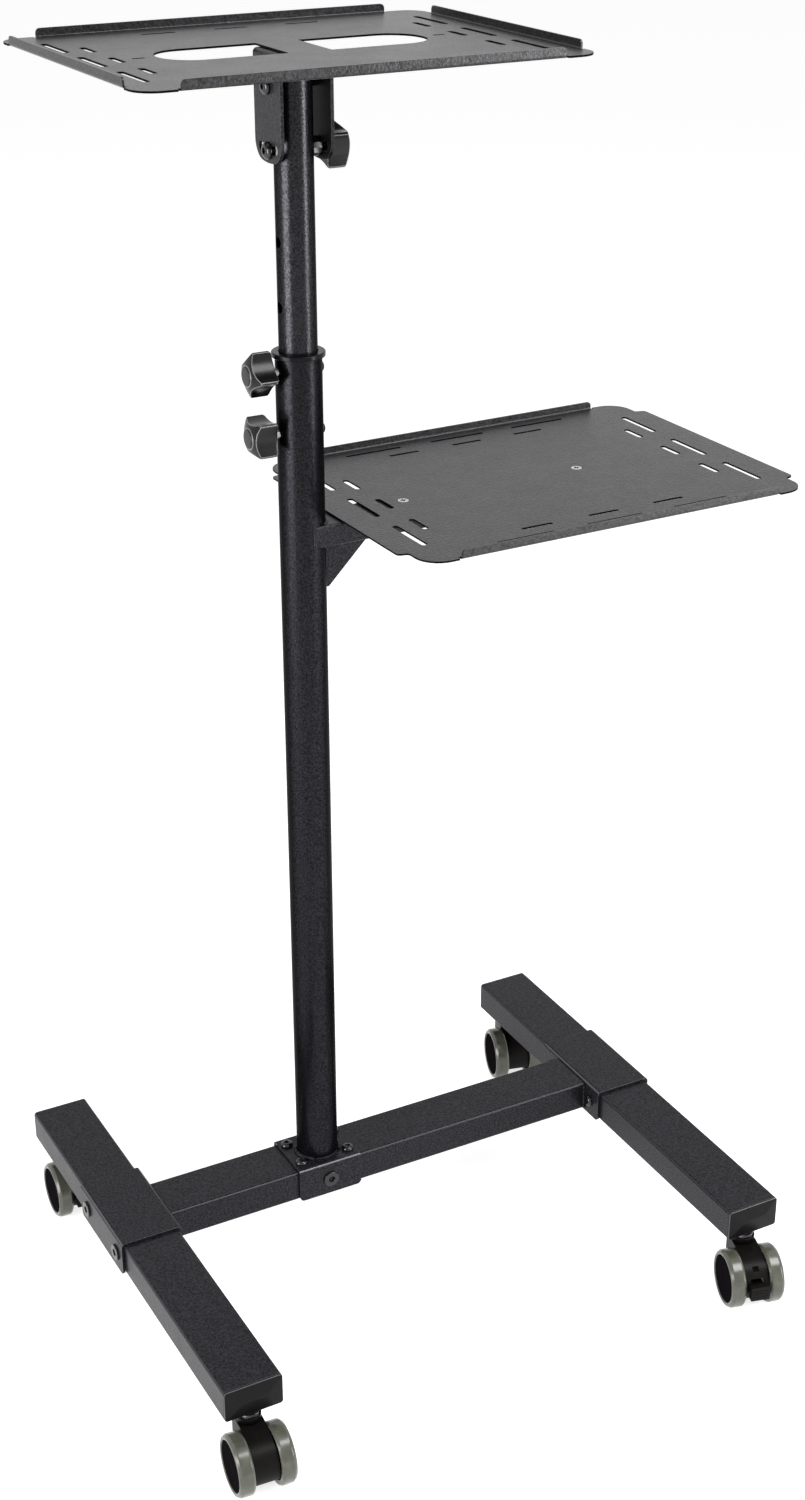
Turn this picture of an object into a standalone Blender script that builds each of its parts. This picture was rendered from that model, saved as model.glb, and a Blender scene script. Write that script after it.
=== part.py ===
"""Rolling stand with two trays: an H base on four twin-wheel casters, a two-tube column that
slides and clamps at index holes, a fixed lower tray on an arm, and a tilting top tray.

Lengths are in metres and +Z is up. The column's axis is at X = Y = 0 and the floor at Z = 0
while the pieces are made. Last of all the whole stand moves so that the origin lies under the
middle of its box.
"""
import math

import bmesh
import bpy
from mathutils import Matrix, Vector

# Fits and fineness of round shapes
SEAT_GAP = 0.0003
CUT_OVERRUN = 0.002
FINE_SIDES = 32
WHEEL_SIDES = 30
ROUND_SIDES = 24
SMALL_SIDES = 12
SCOOP_SIDES = 8
FILLET_STEPS = 2
FLAT_ANGLE = math.radians(1)
SMOOTH_ANGLE = math.radians(38)

# Rectangular tubes of the base
TUBE_HEIGHT = 0.0285
TUBE_WALL = 0.0015
TUBE_CORNER = 0.0025
LEG_WIDTH = 0.0505
CROSS_WIDTH = 0.0500
LEFT_LEG_X = -0.1808
RIGHT_LEG_X = 0.2978
LEG_FRONT_Y = -0.2571
LEG_BACK_Y = 0.1786

# Plastic end caps of the legs
CAP_RIM = 0.0015
CAP_RISE = 0.0016
CAP_PLUG_DEPTH = 0.0050
CAP_FACET_SHARE = 0.12

# Folded brackets over the tubes
BRACKET_SHEET = 0.0023
BRACKET_BEND = 0.0036
BRACKET_DROP = 0.0010
BRACKET_CORNER = 0.0040
LEG_BRACKET_EDGE = 0.0144
SADDLE_EDGE = 0.0073

# Screws of the base
BOLT_RADIUS = 0.0030
SLEEVE_NUT_RADIUS = 0.00715
SLEEVE_NUT_HEIGHT = 0.0016
SLEEVE_NUT_SOCKET = 0.0034
BUTTON_RADIUS = 0.0054
BUTTON_HEIGHT = 0.0034
BUTTON_SOCKET = 0.0022
SOCKET_DEPTH = 0.0012
LEG_BOLT_FROM_CROSS_TUBE = 0.0090
SADDLE_SCREW_FROM_POLE = 0.00477
SADDLE_SCREW_FROM_EDGE = 0.0098
SADDLE_SCREW_LENGTH = 0.0100

# Column tubes and the plastic bush between them
POLE_RADIUS = 0.01833
POLE_WALL = 0.0016
MAST_WALL = 0.0015
MAST_BELOW_HOLES = 0.0354
MAST_ABOVE_PIVOT = 0.0134
BUSH_WALL = 0.00111
BUSH_BELOW_CLAMP = 0.0202
COLLAR_PROUD = 0.00267
COLLAR_HEIGHT = 0.0040
COLLAR_CHAMFER = 0.0006
LUG_RADIUS = 0.0050
LUG_PROUD = 0.0028

# Height clamps and the index holes that they meet
UPPER_CLAMP_DROP = 0.0103
INDEX_PITCH = 0.0492
INDEX_HOLES_BELOW = 4
INDEX_HOLES_ABOVE = 3
INDEX_HOLE_RADIUS = 0.0043
CLAMP_SCREW_RADIUS = 0.0030
CLAMP_SCREW_IN_KNOB = 0.0130
CLAMP_KNOB_FROM_POLE = 0.0061

# Knobs with four narrow ridges and scooped sides between them
KNOB_RIDGES = 4
KNOB_RIDGE_RADIUS = 0.0183
KNOB_RIDGE_WIDTH = 0.0022
KNOB_WAIST_RADIUS = 0.0115
KNOB_BASE_CHAMFER = 0.0018
KNOB_RIDGE_TO_END = 0.0054
KNOB_END_SLOPE = 0.42
KNOB_FACE_RADIUS = 0.0072
KNOB_FACE_FILLET = 0.0009
CLAMP_KNOB_DEPTH = 0.0206
TILT_KNOB_DEPTH = 0.0200
UPPER_KNOB_TURN = math.radians(-9)
LOWER_KNOB_TURN = math.radians(-46.5)
TILT_KNOB_TURN = math.radians(57)

# Folded sheet trays
TRAY_SHEET = 0.0015
LIP_HEIGHT = 0.0077
LIP_BEND = 0.0025
LIP_CORNER = 0.0035
LIP_RELIEF = 0.0018
RELIEF_DEPTH = 0.0010
EAR_FILLET = 0.0008
SLOT_WIDTH = 0.0054
ROW_SLOT_WIDTH = 0.0036

# Top tray
TOP_TRAY_HEIGHT = 1.0530
TOP_TRAY_ABOVE_POLE = 0.2263
TOP_TRAY_X = 0.0018
TOP_TRAY_WIDTH = 0.3521
TOP_TRAY_DEPTH = 0.2770
TOP_EAR_WIDTH = 0.03005
TOP_EAR_DEPTH = 0.0273
TOP_EAR_RADIUS = 0.0180
TOP_LONG_SLOT_EDGE = 0.02205
TOP_LONG_SLOT_PITCH = 0.0750
TOP_LONG_SLOT = 0.0510
TOP_SHORT_SLOT_EDGE = 0.04005
TOP_SHORT_SLOT_PITCH = 0.0560
TOP_SHORT_SLOT = 0.0265
TOP_ROW_EDGE = 0.0285
TOP_ROW_PITCH = 0.0595
TOP_ROW_SLOT = 0.0280
TOP_CENTRE_SLOT_EDGE = 0.05625
TOP_CENTRE_SLOT = 0.0100
WINDOW_EDGE = 0.07005
WINDOW_INNER_X = 0.0170
WINDOW_DEPTH = 0.0570
WINDOW_END_FLAT = 0.0030
WINDOW_INNER_FILLET = 0.0012

# Lower tray and the arm that carries it
LOWER_TRAY_BELOW_POLE_TOP = 0.1334
LOWER_TRAY_FROM_COLUMN = 0.0350
LOWER_TRAY_WIDTH = 0.3596
LOWER_TRAY_DEPTH = 0.2770
LOWER_EAR_WIDTH = 0.0298
LOWER_EAR_DEPTH = 0.0315
LOWER_EAR_RADIUS = 0.0200
LOWER_TAB_REACH = 0.0088
LOWER_LONG_SLOT_EDGE = 0.0200
LOWER_LONG_SLOT_PITCH = 0.0750
LOWER_LONG_SLOT = 0.0500
LOWER_SHORT_SLOT_EDGE = 0.0391
LOWER_SHORT_SLOT_PITCH = 0.0554
LOWER_SHORT_SLOT = 0.0260
LOWER_LONG_ROW_EDGE = 0.0155
LOWER_LONG_ROW_PITCH = 0.0830
LOWER_LONG_ROW_SLOT = 0.0535
LOWER_SHORT_ROW_EDGE = 0.0325
LOWER_SHORT_ROW_PITCH = 0.0624
LOWER_SHORT_ROW_SLOT = 0.0288
ARM_YAW = math.radians(1.33)
ARM_WIDTH = 0.0380
ARM_HEIGHT = 0.0182
ARM_CORNER = 0.0020
ARM_PAST_SCREW = 0.0291
GUSSET_SIZE = 0.0402
GUSSET_SHEET = 0.0030
GUSSET_CLIP = 0.0035
TRAY_SCREW_EDGE = 0.0566
TRAY_SCREW_SPACING = 0.1673
TRAY_SCREW_HEAD = 0.0046
TRAY_SCREW_RADIUS = 0.0024
TRAY_SCREW_LENGTH = 0.0090
TRAY_SCREW_RECESS = 0.0018
TRAY_SCREW_RECESS_DEPTH = 0.0008

# Tilting head under the top tray
HEAD_SHIFT = 0.0012
HEAD_FROM_MAST = 0.00398
HEAD_SHEET = 0.0025
HEAD_BEND = 0.0036
HEAD_DEPTH = 0.0450
HEAD_BELOW_BOLT = 0.0091
HEAD_CORNER = 0.0110
PIVOT_DROP = 0.0244
CLAMP_BOLT_DROP = 0.0460
TILT_LIMIT = math.radians(15)
TILT_END_CLEARANCE = 0.0008
HEAD_BOLT_RADIUS = 0.0030
HEAD_BOLT_HEAD_RADIUS = 0.0065
HEAD_BOLT_HEAD_HEIGHT = 0.0036
PIVOT_NUT_RADIUS = 0.0055
PIVOT_NUT_HEIGHT = 0.0040
CLAMP_BOLT_IN_KNOB = 0.0110
SPACER_RADIUS = 0.0075

# Casters
WHEEL_RADIUS = 0.02577
WHEEL_WIDTH = 0.01336
WHEEL_SPACE = 0.0218
TREAD_FILLET = 0.0026
TYRE_RIM_INSET = 0.00217
HUB_INSET = 0.00517
HUB_RECESS = 0.0006
HUB_SKIN = 0.00236
AXLE_RADIUS = 0.0030
CASTER_TRAIL = 0.0209
CASTER_INSET = 0.0142
HOOD_INSET = 0.00427
HOOD_WALL = 0.0022
HOOD_BELOW_AXLE = 0.00877
HOOD_ABOVE_AXLE = 0.02473
NECK_RADIUS = 0.0104
NECK_HEIGHT = 0.0057
STEM_HEX_RADIUS = 0.0095
STEM_HEX_HEIGHT = 0.0032
STEM_HEX_SIDES = 6
STEM_COLLAR_RADIUS = 0.0098
STEM_COLLAR_HEIGHT = 0.0047
STEM_THREAD_RADIUS = 0.0050
STEM_THREAD_LENGTH = 0.0200
STEM_PIN_RADIUS = 0.0040
STEM_PIN_ABOVE_HOOD = 0.0070
BRAKE_MOUTH_ABOVE_AXLE = 0.01023
BRAKE_ARM_WIDTH = 0.0116
BRAKE_ARM_HEIGHT = 0.0080
BRAKE_PIVOT_RADIUS = 0.0016
BRAKE_PIVOT_REACH = 0.0021
BRAKE_PIVOT_INSET = 0.0089
BRAKE_PIVOT_ABOVE_AXLE = 0.00123
BRAKE_PEDAL_WIDTH = 0.0170
BRAKE_PEDAL_PROUD = 0.0081
BRAKE_PEDAL_BELOW_PIVOT = 0.0065
BRAKE_PEDAL_ABOVE_PIVOT = 0.0075
BRAKE_PEDAL_FOOT = 0.0058
BRAKE_RIBS = 4
BRAKE_RIB_DEPTH = 0.0006
BRAKE_WINDOW_WIDTH = 0.0056
BRAKE_WINDOW_HEIGHT = 0.0030
BRAKE_WINDOW_ABOVE_AXLE = 0.01503

# Each caster's swivel angle, leg and whether it carries a brake, as the stand is seen
CASTERS = (
    ("front_left", LEFT_LEG_X, LEG_FRONT_Y + CASTER_INSET, math.radians(-4.3), False),
    ("front_right", RIGHT_LEG_X, LEG_FRONT_Y + CASTER_INSET, math.radians(-15.4), True),
    ("back_right", RIGHT_LEG_X, LEG_BACK_Y - CASTER_INSET, math.radians(-14.3), False),
    ("back_left", LEFT_LEG_X, LEG_BACK_Y - CASTER_INSET, math.radians(-1.9), True),
)

# Casters, from the wheels up to the legs
TYRE_RIM_RADIUS = WHEEL_RADIUS - TYRE_RIM_INSET
HUB_RADIUS = WHEEL_RADIUS - HUB_INSET
WHEEL_BORE_DEPTH = WHEEL_WIDTH - HUB_SKIN
HOOD_WIDTH = WHEEL_SPACE - 2 * SEAT_GAP
HOOD_RADIUS = WHEEL_RADIUS - HOOD_INSET
HOOD_BOTTOM = WHEEL_RADIUS - HOOD_BELOW_AXLE
HOOD_SHOULDER = WHEEL_RADIUS + HOOD_ABOVE_AXLE
NECK_TOP = HOOD_SHOULDER + NECK_HEIGHT
STEM_PIN_BOTTOM = HOOD_BOTTOM + STEM_PIN_ABOVE_HOOD
BRAKE_SLOT_TOP = WHEEL_RADIUS + BRAKE_MOUTH_ABOVE_AXLE
BRAKE_PIVOT_Y = BRAKE_PIVOT_INSET - CASTER_TRAIL - HOOD_RADIUS
BRAKE_PIVOT_HEIGHT = WHEEL_RADIUS + BRAKE_PIVOT_ABOVE_AXLE
BRAKE_PEDAL_FRONT = -CASTER_TRAIL - HOOD_RADIUS - BRAKE_PEDAL_PROUD
BRAKE_PEDAL_BOTTOM = BRAKE_PIVOT_HEIGHT - BRAKE_PEDAL_BELOW_PIVOT
BRAKE_PEDAL_TOP = BRAKE_PIVOT_HEIGHT + BRAKE_PEDAL_ABOVE_PIVOT
BRAKE_WINDOW_BOTTOM = WHEEL_RADIUS + BRAKE_WINDOW_ABOVE_AXLE
BASE_HEIGHT = NECK_TOP + STEM_HEX_HEIGHT + STEM_COLLAR_HEIGHT + 2 * SEAT_GAP

# Base, outwards from the column and the cross tube
TUBE_TOP = BASE_HEIGHT + TUBE_HEIGHT
BRACKET_TOP = TUBE_TOP + SEAT_GAP + BRACKET_SHEET
BOLT_HEIGHT = BASE_HEIGHT + TUBE_HEIGHT / 2
LEG_BRACKET_HALF_WIDTH = LEG_WIDTH / 2 + SEAT_GAP + BRACKET_SHEET
SADDLE_HALF_WIDTH = CROSS_WIDTH / 2 + SEAT_GAP + BRACKET_SHEET
CROSS_LEFT_X = LEFT_LEG_X + LEG_BRACKET_HALF_WIDTH + SEAT_GAP
CROSS_RIGHT_X = RIGHT_LEG_X - LEG_BRACKET_HALF_WIDTH - SEAT_GAP
LEG_BOLT_SPACING = CROSS_WIDTH + 2 * LEG_BOLT_FROM_CROSS_TUBE
LEG_BRACKET_LENGTH = LEG_BOLT_SPACING + 2 * LEG_BRACKET_EDGE
SADDLE_SCREW_X = POLE_RADIUS + SADDLE_SCREW_FROM_POLE
SADDLE_SCREW_Y = CROSS_WIDTH / 2 - SADDLE_SCREW_FROM_EDGE
SADDLE_LENGTH = 2 * (SADDLE_SCREW_X + SADDLE_EDGE)

# Column, down from the top tray
POLE_BOTTOM = BRACKET_TOP + SEAT_GAP
POLE_TOP = TOP_TRAY_HEIGHT - TOP_TRAY_ABOVE_POLE
UPPER_CLAMP_HEIGHT = POLE_TOP - UPPER_CLAMP_DROP
LOWER_CLAMP_HEIGHT = UPPER_CLAMP_HEIGHT - INDEX_PITCH
CLAMP_HEIGHTS = (UPPER_CLAMP_HEIGHT, LOWER_CLAMP_HEIGHT)
PIVOT_HEIGHT = TOP_TRAY_HEIGHT - PIVOT_DROP
CLAMP_BOLT_HEIGHT = PIVOT_HEIGHT - CLAMP_BOLT_DROP
MAST_RADIUS = POLE_RADIUS - POLE_WALL - BUSH_WALL - 2 * SEAT_GAP
MAST_TOP = PIVOT_HEIGHT + MAST_ABOVE_PIVOT
MAST_BOTTOM = LOWER_CLAMP_HEIGHT - INDEX_HOLES_BELOW * INDEX_PITCH - MAST_BELOW_HOLES
COLLAR_RADIUS = POLE_RADIUS + COLLAR_PROUD
BUSH_BOTTOM = LOWER_CLAMP_HEIGHT - BUSH_BELOW_CLAMP
HEAD_INNER_WIDTH = 2 * (MAST_RADIUS + HEAD_FROM_MAST)
HEAD_LEFT_X = HEAD_SHIFT - HEAD_INNER_WIDTH / 2
HEAD_RIGHT_X = HEAD_SHIFT + HEAD_INNER_WIDTH / 2
HEAD_TOP = TOP_TRAY_HEIGHT - SEAT_GAP
HEAD_BOTTOM = CLAMP_BOLT_HEIGHT - HEAD_BELOW_BOLT

# Trays, inwards from their edges
TOP_FRONT_LIP = TOP_TRAY_WIDTH - 2 * TOP_EAR_WIDTH
TOP_SIDE_LIP = TOP_TRAY_DEPTH - 2 * TOP_EAR_DEPTH
TOP_LONG_SLOT_X = TOP_TRAY_WIDTH / 2 - TOP_LONG_SLOT_EDGE
TOP_SHORT_SLOT_X = TOP_TRAY_WIDTH / 2 - TOP_SHORT_SLOT_EDGE
TOP_CENTRE_SLOT_X = TOP_TRAY_WIDTH / 2 - TOP_CENTRE_SLOT_EDGE
TOP_ROW_Y = TOP_TRAY_DEPTH / 2 - TOP_ROW_EDGE
WINDOW_OUTER_X = TOP_TRAY_WIDTH / 2 - WINDOW_EDGE
WINDOW_OUTER_FILLET = (WINDOW_DEPTH - WINDOW_END_FLAT) / 2
LOWER_TRAY_HEIGHT = POLE_TOP - LOWER_TRAY_BELOW_POLE_TOP
LOWER_TRAY_X = LOWER_TRAY_FROM_COLUMN + LOWER_TRAY_WIDTH / 2
LOWER_FRONT_LIP = LOWER_TRAY_WIDTH - 2 * LOWER_EAR_WIDTH
LOWER_SIDE_TAB = LOWER_TRAY_DEPTH - 2 * LOWER_EAR_DEPTH
LOWER_LONG_SLOT_X = LOWER_TRAY_WIDTH / 2 - LOWER_LONG_SLOT_EDGE
LOWER_SHORT_SLOT_X = LOWER_TRAY_WIDTH / 2 - LOWER_SHORT_SLOT_EDGE
LOWER_LONG_ROW_Y = LOWER_TRAY_DEPTH / 2 - LOWER_LONG_ROW_EDGE
LOWER_SHORT_ROW_Y = LOWER_TRAY_DEPTH / 2 - LOWER_SHORT_ROW_EDGE
TRAY_SCREW_NEAR_X = LOWER_TRAY_FROM_COLUMN + TRAY_SCREW_EDGE
TRAY_SCREW_FAR_X = TRAY_SCREW_NEAR_X + TRAY_SCREW_SPACING
ARM_END_X = TRAY_SCREW_FAR_X + ARM_PAST_SCREW
ARM_TOP = LOWER_TRAY_HEIGHT - SEAT_GAP
ARM_BOTTOM = ARM_TOP - ARM_HEIGHT


def clear_scene():
    for old in list(bpy.data.objects):
        bpy.data.objects.remove(old)


def finish(name, colour, roughness, metallic=0.0):
    """A plain surface of one colour for one kind of piece."""
    surface = bpy.data.materials.new(name)
    surface.use_nodes = True
    shader = surface.node_tree.nodes["Principled BSDF"]
    shader.inputs["Base Color"].default_value = (*colour, 1.0)
    shader.inputs["Roughness"].default_value = roughness
    shader.inputs["Metallic"].default_value = metallic
    return surface


def empty(name, parent=None, location=(0, 0, 0), turn=0.0):
    """A parent that carries pieces, turned about the vertical."""
    holder = bpy.data.objects.new(name, None)
    bpy.context.collection.objects.link(holder)
    holder.parent = parent
    holder.location = location
    holder.rotation_euler = (0, 0, turn)
    return holder


def piece(name, body, surface, parent, location=(0, 0, 0), rotation=(0, 0, 0)):
    """One named solid, set in its parent's frame."""
    mesh = bpy.data.meshes.new(name)
    body.to_mesh(mesh)
    body.free()
    mesh.materials.append(surface)
    mesh.shade_smooth()
    mesh.set_sharp_from_angle(angle=SMOOTH_ANGLE)
    solid = bpy.data.objects.new(name, mesh)
    bpy.context.collection.objects.link(solid)
    solid.parent = parent
    solid.location = location
    solid.rotation_euler = rotation
    return solid


def shape(solid, bodies, operation="DIFFERENCE"):
    """Cuts the bodies from the solid, joins them to it or keeps what they share with it."""
    tool_mesh = bpy.data.meshes.new(solid.name + "_tool")
    gathered = bmesh.new()
    for body in bodies:
        body.to_mesh(tool_mesh)
        body.free()
        gathered.from_mesh(tool_mesh)
    gathered.to_mesh(tool_mesh)
    gathered.free()
    tool = bpy.data.objects.new(solid.name + "_tool", tool_mesh)
    bpy.context.collection.objects.link(tool)
    tool.parent = solid
    tool.hide_render = True
    tool.display_type = "WIRE"
    modifier = solid.modifiers.new(operation.lower(), "BOOLEAN")
    modifier.operation = operation
    modifier.object = tool


def placed(body, matrix):
    bmesh.ops.transform(body, matrix=matrix, verts=body.verts)
    return body


def skin(rings, wall=False):
    """A closed body over rings of equal count: capped at both ends, or a wall that returns."""
    body = bmesh.new()
    loops = [[body.verts.new(point) for point in ring] for ring in rings]
    pairs = list(zip(loops, loops[1:]))
    if wall:
        pairs.append((loops[-1], loops[0]))
    else:
        body.faces.new(loops[0])
        body.faces.new(loops[-1])
    for near, far in pairs:
        for index in range(len(near)):
            after = (index + 1) % len(near)
            body.faces.new((near[index], near[after], far[after], far[index]))
    bmesh.ops.recalc_face_normals(body, faces=body.faces)
    return body


def on_plane(plane, u, v, along):
    return {"XY": (u, v, along), "YZ": (along, u, v), "XZ": (u, along, v)}[plane]


def prism(outline, start, end, plane="XY"):
    """An outline drawn on a plane and drawn out between two places across it."""
    rings = [[on_plane(plane, u, v, along) for u, v in outline] for along in (start, end)]
    return skin(rings)


def tube(outer, inner, start, end, plane="XY"):
    """A hollow prism, open at both ends, between two outlines of equal count."""
    walls = ((outer, start), (outer, end), (inner, end), (inner, start))
    rings = [[on_plane(plane, u, v, along) for u, v in outline] for outline, along in walls]
    return skin(rings, wall=True)


def circle(radius, sides, centre=(0, 0), turn=0.0):
    """Points of a round outline."""
    angles = [turn + 2 * math.pi * side / sides for side in range(sides)]
    return [(centre[0] + radius * math.cos(a), centre[1] + radius * math.sin(a)) for a in angles]


def turned(profile, sides, plane="XY", wall=False):
    """A profile of (radius, place along the axis) spun about the plane's normal."""
    rings = []
    for radius, along in profile:
        rings.append([on_plane(plane, u, v, along) for u, v in circle(radius, sides)])
    return skin(rings, wall)


def rod(radius, start, end, plane, centre=(0, 0), sides=SMALL_SIDES):
    return prism(circle(radius, sides, centre), start, end, plane)


def filleted(corners):
    """An outline through corners (u, v, radius), each rounded by an arc of its radius."""
    outline = []
    for index, (u, v, radius) in enumerate(corners):
        corner = Vector((u, v))
        if radius == 0:
            outline.append((u, v))
            continue
        back = (Vector(corners[index - 1][:2]) - corner).normalized()
        ahead = (Vector(corners[(index + 1) % len(corners)][:2]) - corner).normalized()
        half = back.angle(ahead) / 2
        reach = radius / math.tan(half)
        centre = corner + (back + ahead).normalized() * radius / math.sin(half)
        first = corner + back * reach - centre
        last = corner + ahead * reach - centre
        sweep = first.angle(last)
        for step in range(FILLET_STEPS + 1):
            near = math.sin(sweep * (1 - step / FILLET_STEPS)) / math.sin(sweep)
            far = math.sin(sweep * step / FILLET_STEPS) / math.sin(sweep)
            outline.append(tuple(centre + first * near + last * far))
    return outline


def rounded_rectangle(width, height, radius, centre=(0, 0)):
    u, v = width / 2, height / 2
    corners = ((u, -v), (u, v), (-u, v), (-u, -v))
    return filleted([(centre[0] + a, centre[1] + b, radius) for a, b in corners])


def slot(centre, length, direction):
    """A slot with round ends: a narrow one along X or a wider one along Y."""
    if direction == "X":
        return rounded_rectangle(length, ROW_SLOT_WIDTH, ROW_SLOT_WIDTH / 2 - SEAT_GAP, centre)
    return rounded_rectangle(SLOT_WIDTH, length, SLOT_WIDTH / 2 - SEAT_GAP, centre)


def box_tube(width, height, wall, corner, start, end, plane, centre):
    """A rectangular hollow section with rounded corners."""
    outer = rounded_rectangle(width, height, corner, centre)
    inner = rounded_rectangle(width - 2 * wall, height - 2 * wall, corner - wall, centre)
    return tube(outer, inner, start, end, plane)


def folded_u(half_width, top, bottom, sheet, bend):
    """Outline of a sheet folded down at both sides, its web on top."""
    inner = half_width - sheet
    return filleted([
        (-half_width, bottom, 0), (-inner, bottom, 0),
        (-inner, top - sheet, bend - sheet), (inner, top - sheet, bend - sheet),
        (inner, bottom, 0), (half_width, bottom, 0),
        (half_width, top, bend), (-half_width, top, bend),
    ])


def button_screw(length, plane):
    """Domed head with a hexagon socket above zero, and a shank of the given length below."""
    profile = (
        (BOLT_RADIUS, -length), (BOLT_RADIUS, 0), (BUTTON_RADIUS, 0),
        (BUTTON_RADIUS * 0.86, BUTTON_HEIGHT * 0.7), (BUTTON_RADIUS * 0.46, BUTTON_HEIGHT),
        (BUTTON_SOCKET, BUTTON_HEIGHT),
        (BUTTON_SOCKET, BUTTON_HEIGHT - SOCKET_DEPTH),
    )
    return turned(profile, SMALL_SIDES, plane)


def sleeve_nut_bolt(grip, plane):
    """A button screw in a flat-headed sleeve nut: one head beyond each side of the grip."""
    nut_face = grip + SLEEVE_NUT_HEIGHT
    profile = (
        (BUTTON_SOCKET, SOCKET_DEPTH - BUTTON_HEIGHT), (BUTTON_SOCKET, -BUTTON_HEIGHT),
        (BUTTON_RADIUS * 0.46, -BUTTON_HEIGHT), (BUTTON_RADIUS * 0.86, -BUTTON_HEIGHT * 0.7),
        (BUTTON_RADIUS, 0), (BOLT_RADIUS, 0), (BOLT_RADIUS, grip), (SLEEVE_NUT_RADIUS, grip),
        (SLEEVE_NUT_RADIUS, nut_face), (SLEEVE_NUT_SOCKET, nut_face),
        (SLEEVE_NUT_SOCKET, nut_face - SOCKET_DEPTH),
    )
    return turned(profile, SMALL_SIDES, plane)


def make_base(root, coat, plastic, screw_steel):
    """The H frame: a cross tube between two legs, held by folded brackets."""
    make_cross_tube(root, coat)
    for side, leg_x, outward in (("left", LEFT_LEG_X, -1), ("right", RIGHT_LEG_X, 1)):
        make_leg_tube(root, coat, side, leg_x)
        make_leg_caps(root, plastic, side, leg_x)
        make_leg_bracket(root, coat, side, leg_x)
        make_leg_bolts(root, screw_steel, side, leg_x, outward)
    make_saddle(root, coat, screw_steel)


def make_cross_tube(root, coat):
    body = box_tube(CROSS_WIDTH, TUBE_HEIGHT, TUBE_WALL, TUBE_CORNER,
                    CROSS_LEFT_X, CROSS_RIGHT_X, "YZ", (0, BOLT_HEIGHT))
    tube_solid = piece("cross_tube", body, coat, root)
    holes = [rod(BOLT_RADIUS + SEAT_GAP, -CROSS_WIDTH, CROSS_WIDTH, "XZ", (0, BOLT_HEIGHT))]
    for place in saddle_screw_places():
        holes.append(rod(BOLT_RADIUS + SEAT_GAP, BOLT_HEIGHT + BOLT_RADIUS + 2 * SEAT_GAP,
                         BRACKET_TOP, "XY", place))
    shape(tube_solid, holes)


def make_leg_tube(root, coat, side, leg_x):
    start = LEG_FRONT_Y + CAP_RIM + CAP_RISE + SEAT_GAP
    end = LEG_BACK_Y - CAP_RIM - CAP_RISE - SEAT_GAP
    body = box_tube(LEG_WIDTH, TUBE_HEIGHT, TUBE_WALL, TUBE_CORNER, start, end, "XZ",
                    (leg_x, BOLT_HEIGHT))
    leg = piece(side + "_leg_tube", body, coat, root)
    reach = LEG_BRACKET_HALF_WIDTH
    holes = []
    for bolt_y in (-LEG_BOLT_SPACING / 2, LEG_BOLT_SPACING / 2):
        holes.append(rod(BOLT_RADIUS + SEAT_GAP, leg_x - reach, leg_x + reach, "YZ",
                         (bolt_y, BOLT_HEIGHT)))
    for stem_y in (LEG_FRONT_Y + CASTER_INSET, LEG_BACK_Y - CASTER_INSET):
        holes.append(rod(STEM_THREAD_RADIUS + SEAT_GAP, BASE_HEIGHT - TUBE_WALL,
                         BASE_HEIGHT + 2 * TUBE_WALL, "XY", (leg_x, stem_y)))
    shape(leg, holes)


def make_leg_caps(root, plastic, side, leg_x):
    """A plug in the tube behind a rim that rises in four flat facets to a small land."""
    inner_width = LEG_WIDTH - 2 * TUBE_WALL - 2 * SEAT_GAP
    inner_height = TUBE_HEIGHT - 2 * TUBE_WALL - 2 * SEAT_GAP
    plug_corner = TUBE_CORNER - TUBE_WALL
    sections = (
        (inner_width, inner_height, plug_corner, -CAP_PLUG_DEPTH),
        (inner_width, inner_height, plug_corner, 0),
        (LEG_WIDTH, TUBE_HEIGHT, TUBE_CORNER, 0),
        (LEG_WIDTH, TUBE_HEIGHT, TUBE_CORNER, CAP_RIM),
        (LEG_WIDTH - TUBE_HEIGHT * (1 - CAP_FACET_SHARE), TUBE_HEIGHT * CAP_FACET_SHARE,
         TUBE_CORNER * CAP_FACET_SHARE, CAP_RIM + CAP_RISE),
    )
    for end, face_y, outward in (("front", LEG_FRONT_Y, -1), ("back", LEG_BACK_Y, 1)):
        seat_y = face_y - outward * (CAP_RIM + CAP_RISE)
        rings = []
        for width, height, corner, rise in sections:
            outline = rounded_rectangle(width, height, corner, (leg_x, BOLT_HEIGHT))
            rings.append([(u, seat_y + outward * rise, v) for u, v in outline])
        piece(side + "_leg_" + end + "_cap", skin(rings), plastic, root)


def flange_trim(half_length, bottom, top, start, end, plane):
    """What a bracket keeps, seen from its side: lower corners rounded."""
    outline = filleted([
        (-half_length, bottom, BRACKET_CORNER), (half_length, bottom, BRACKET_CORNER),
        (half_length, top + CUT_OVERRUN, 0), (-half_length, top + CUT_OVERRUN, 0),
    ])
    return prism(outline, start, end, plane)


def make_leg_bracket(root, coat, side, leg_x):
    bottom = BASE_HEIGHT - BRACKET_DROP
    reach = LEG_BRACKET_HALF_WIDTH + CUT_OVERRUN
    outline = folded_u(LEG_BRACKET_HALF_WIDTH, BRACKET_TOP, bottom, BRACKET_SHEET, BRACKET_BEND)
    outline = [(leg_x + u, v) for u, v in outline]
    half = LEG_BRACKET_LENGTH / 2
    body = prism(outline, -half - CUT_OVERRUN, half + CUT_OVERRUN, "XZ")
    bracket = piece(side + "_leg_bracket", body, coat, root)
    shape(bracket, [flange_trim(half, bottom, BRACKET_TOP, leg_x - reach, leg_x + reach, "YZ")],
          "INTERSECT")
    holes = []
    for bolt_y in (-LEG_BOLT_SPACING / 2, LEG_BOLT_SPACING / 2):
        holes.append(rod(BOLT_RADIUS + SEAT_GAP, leg_x - reach, leg_x + reach, "YZ",
                         (bolt_y, BOLT_HEIGHT)))
    shape(bracket, holes)


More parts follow.
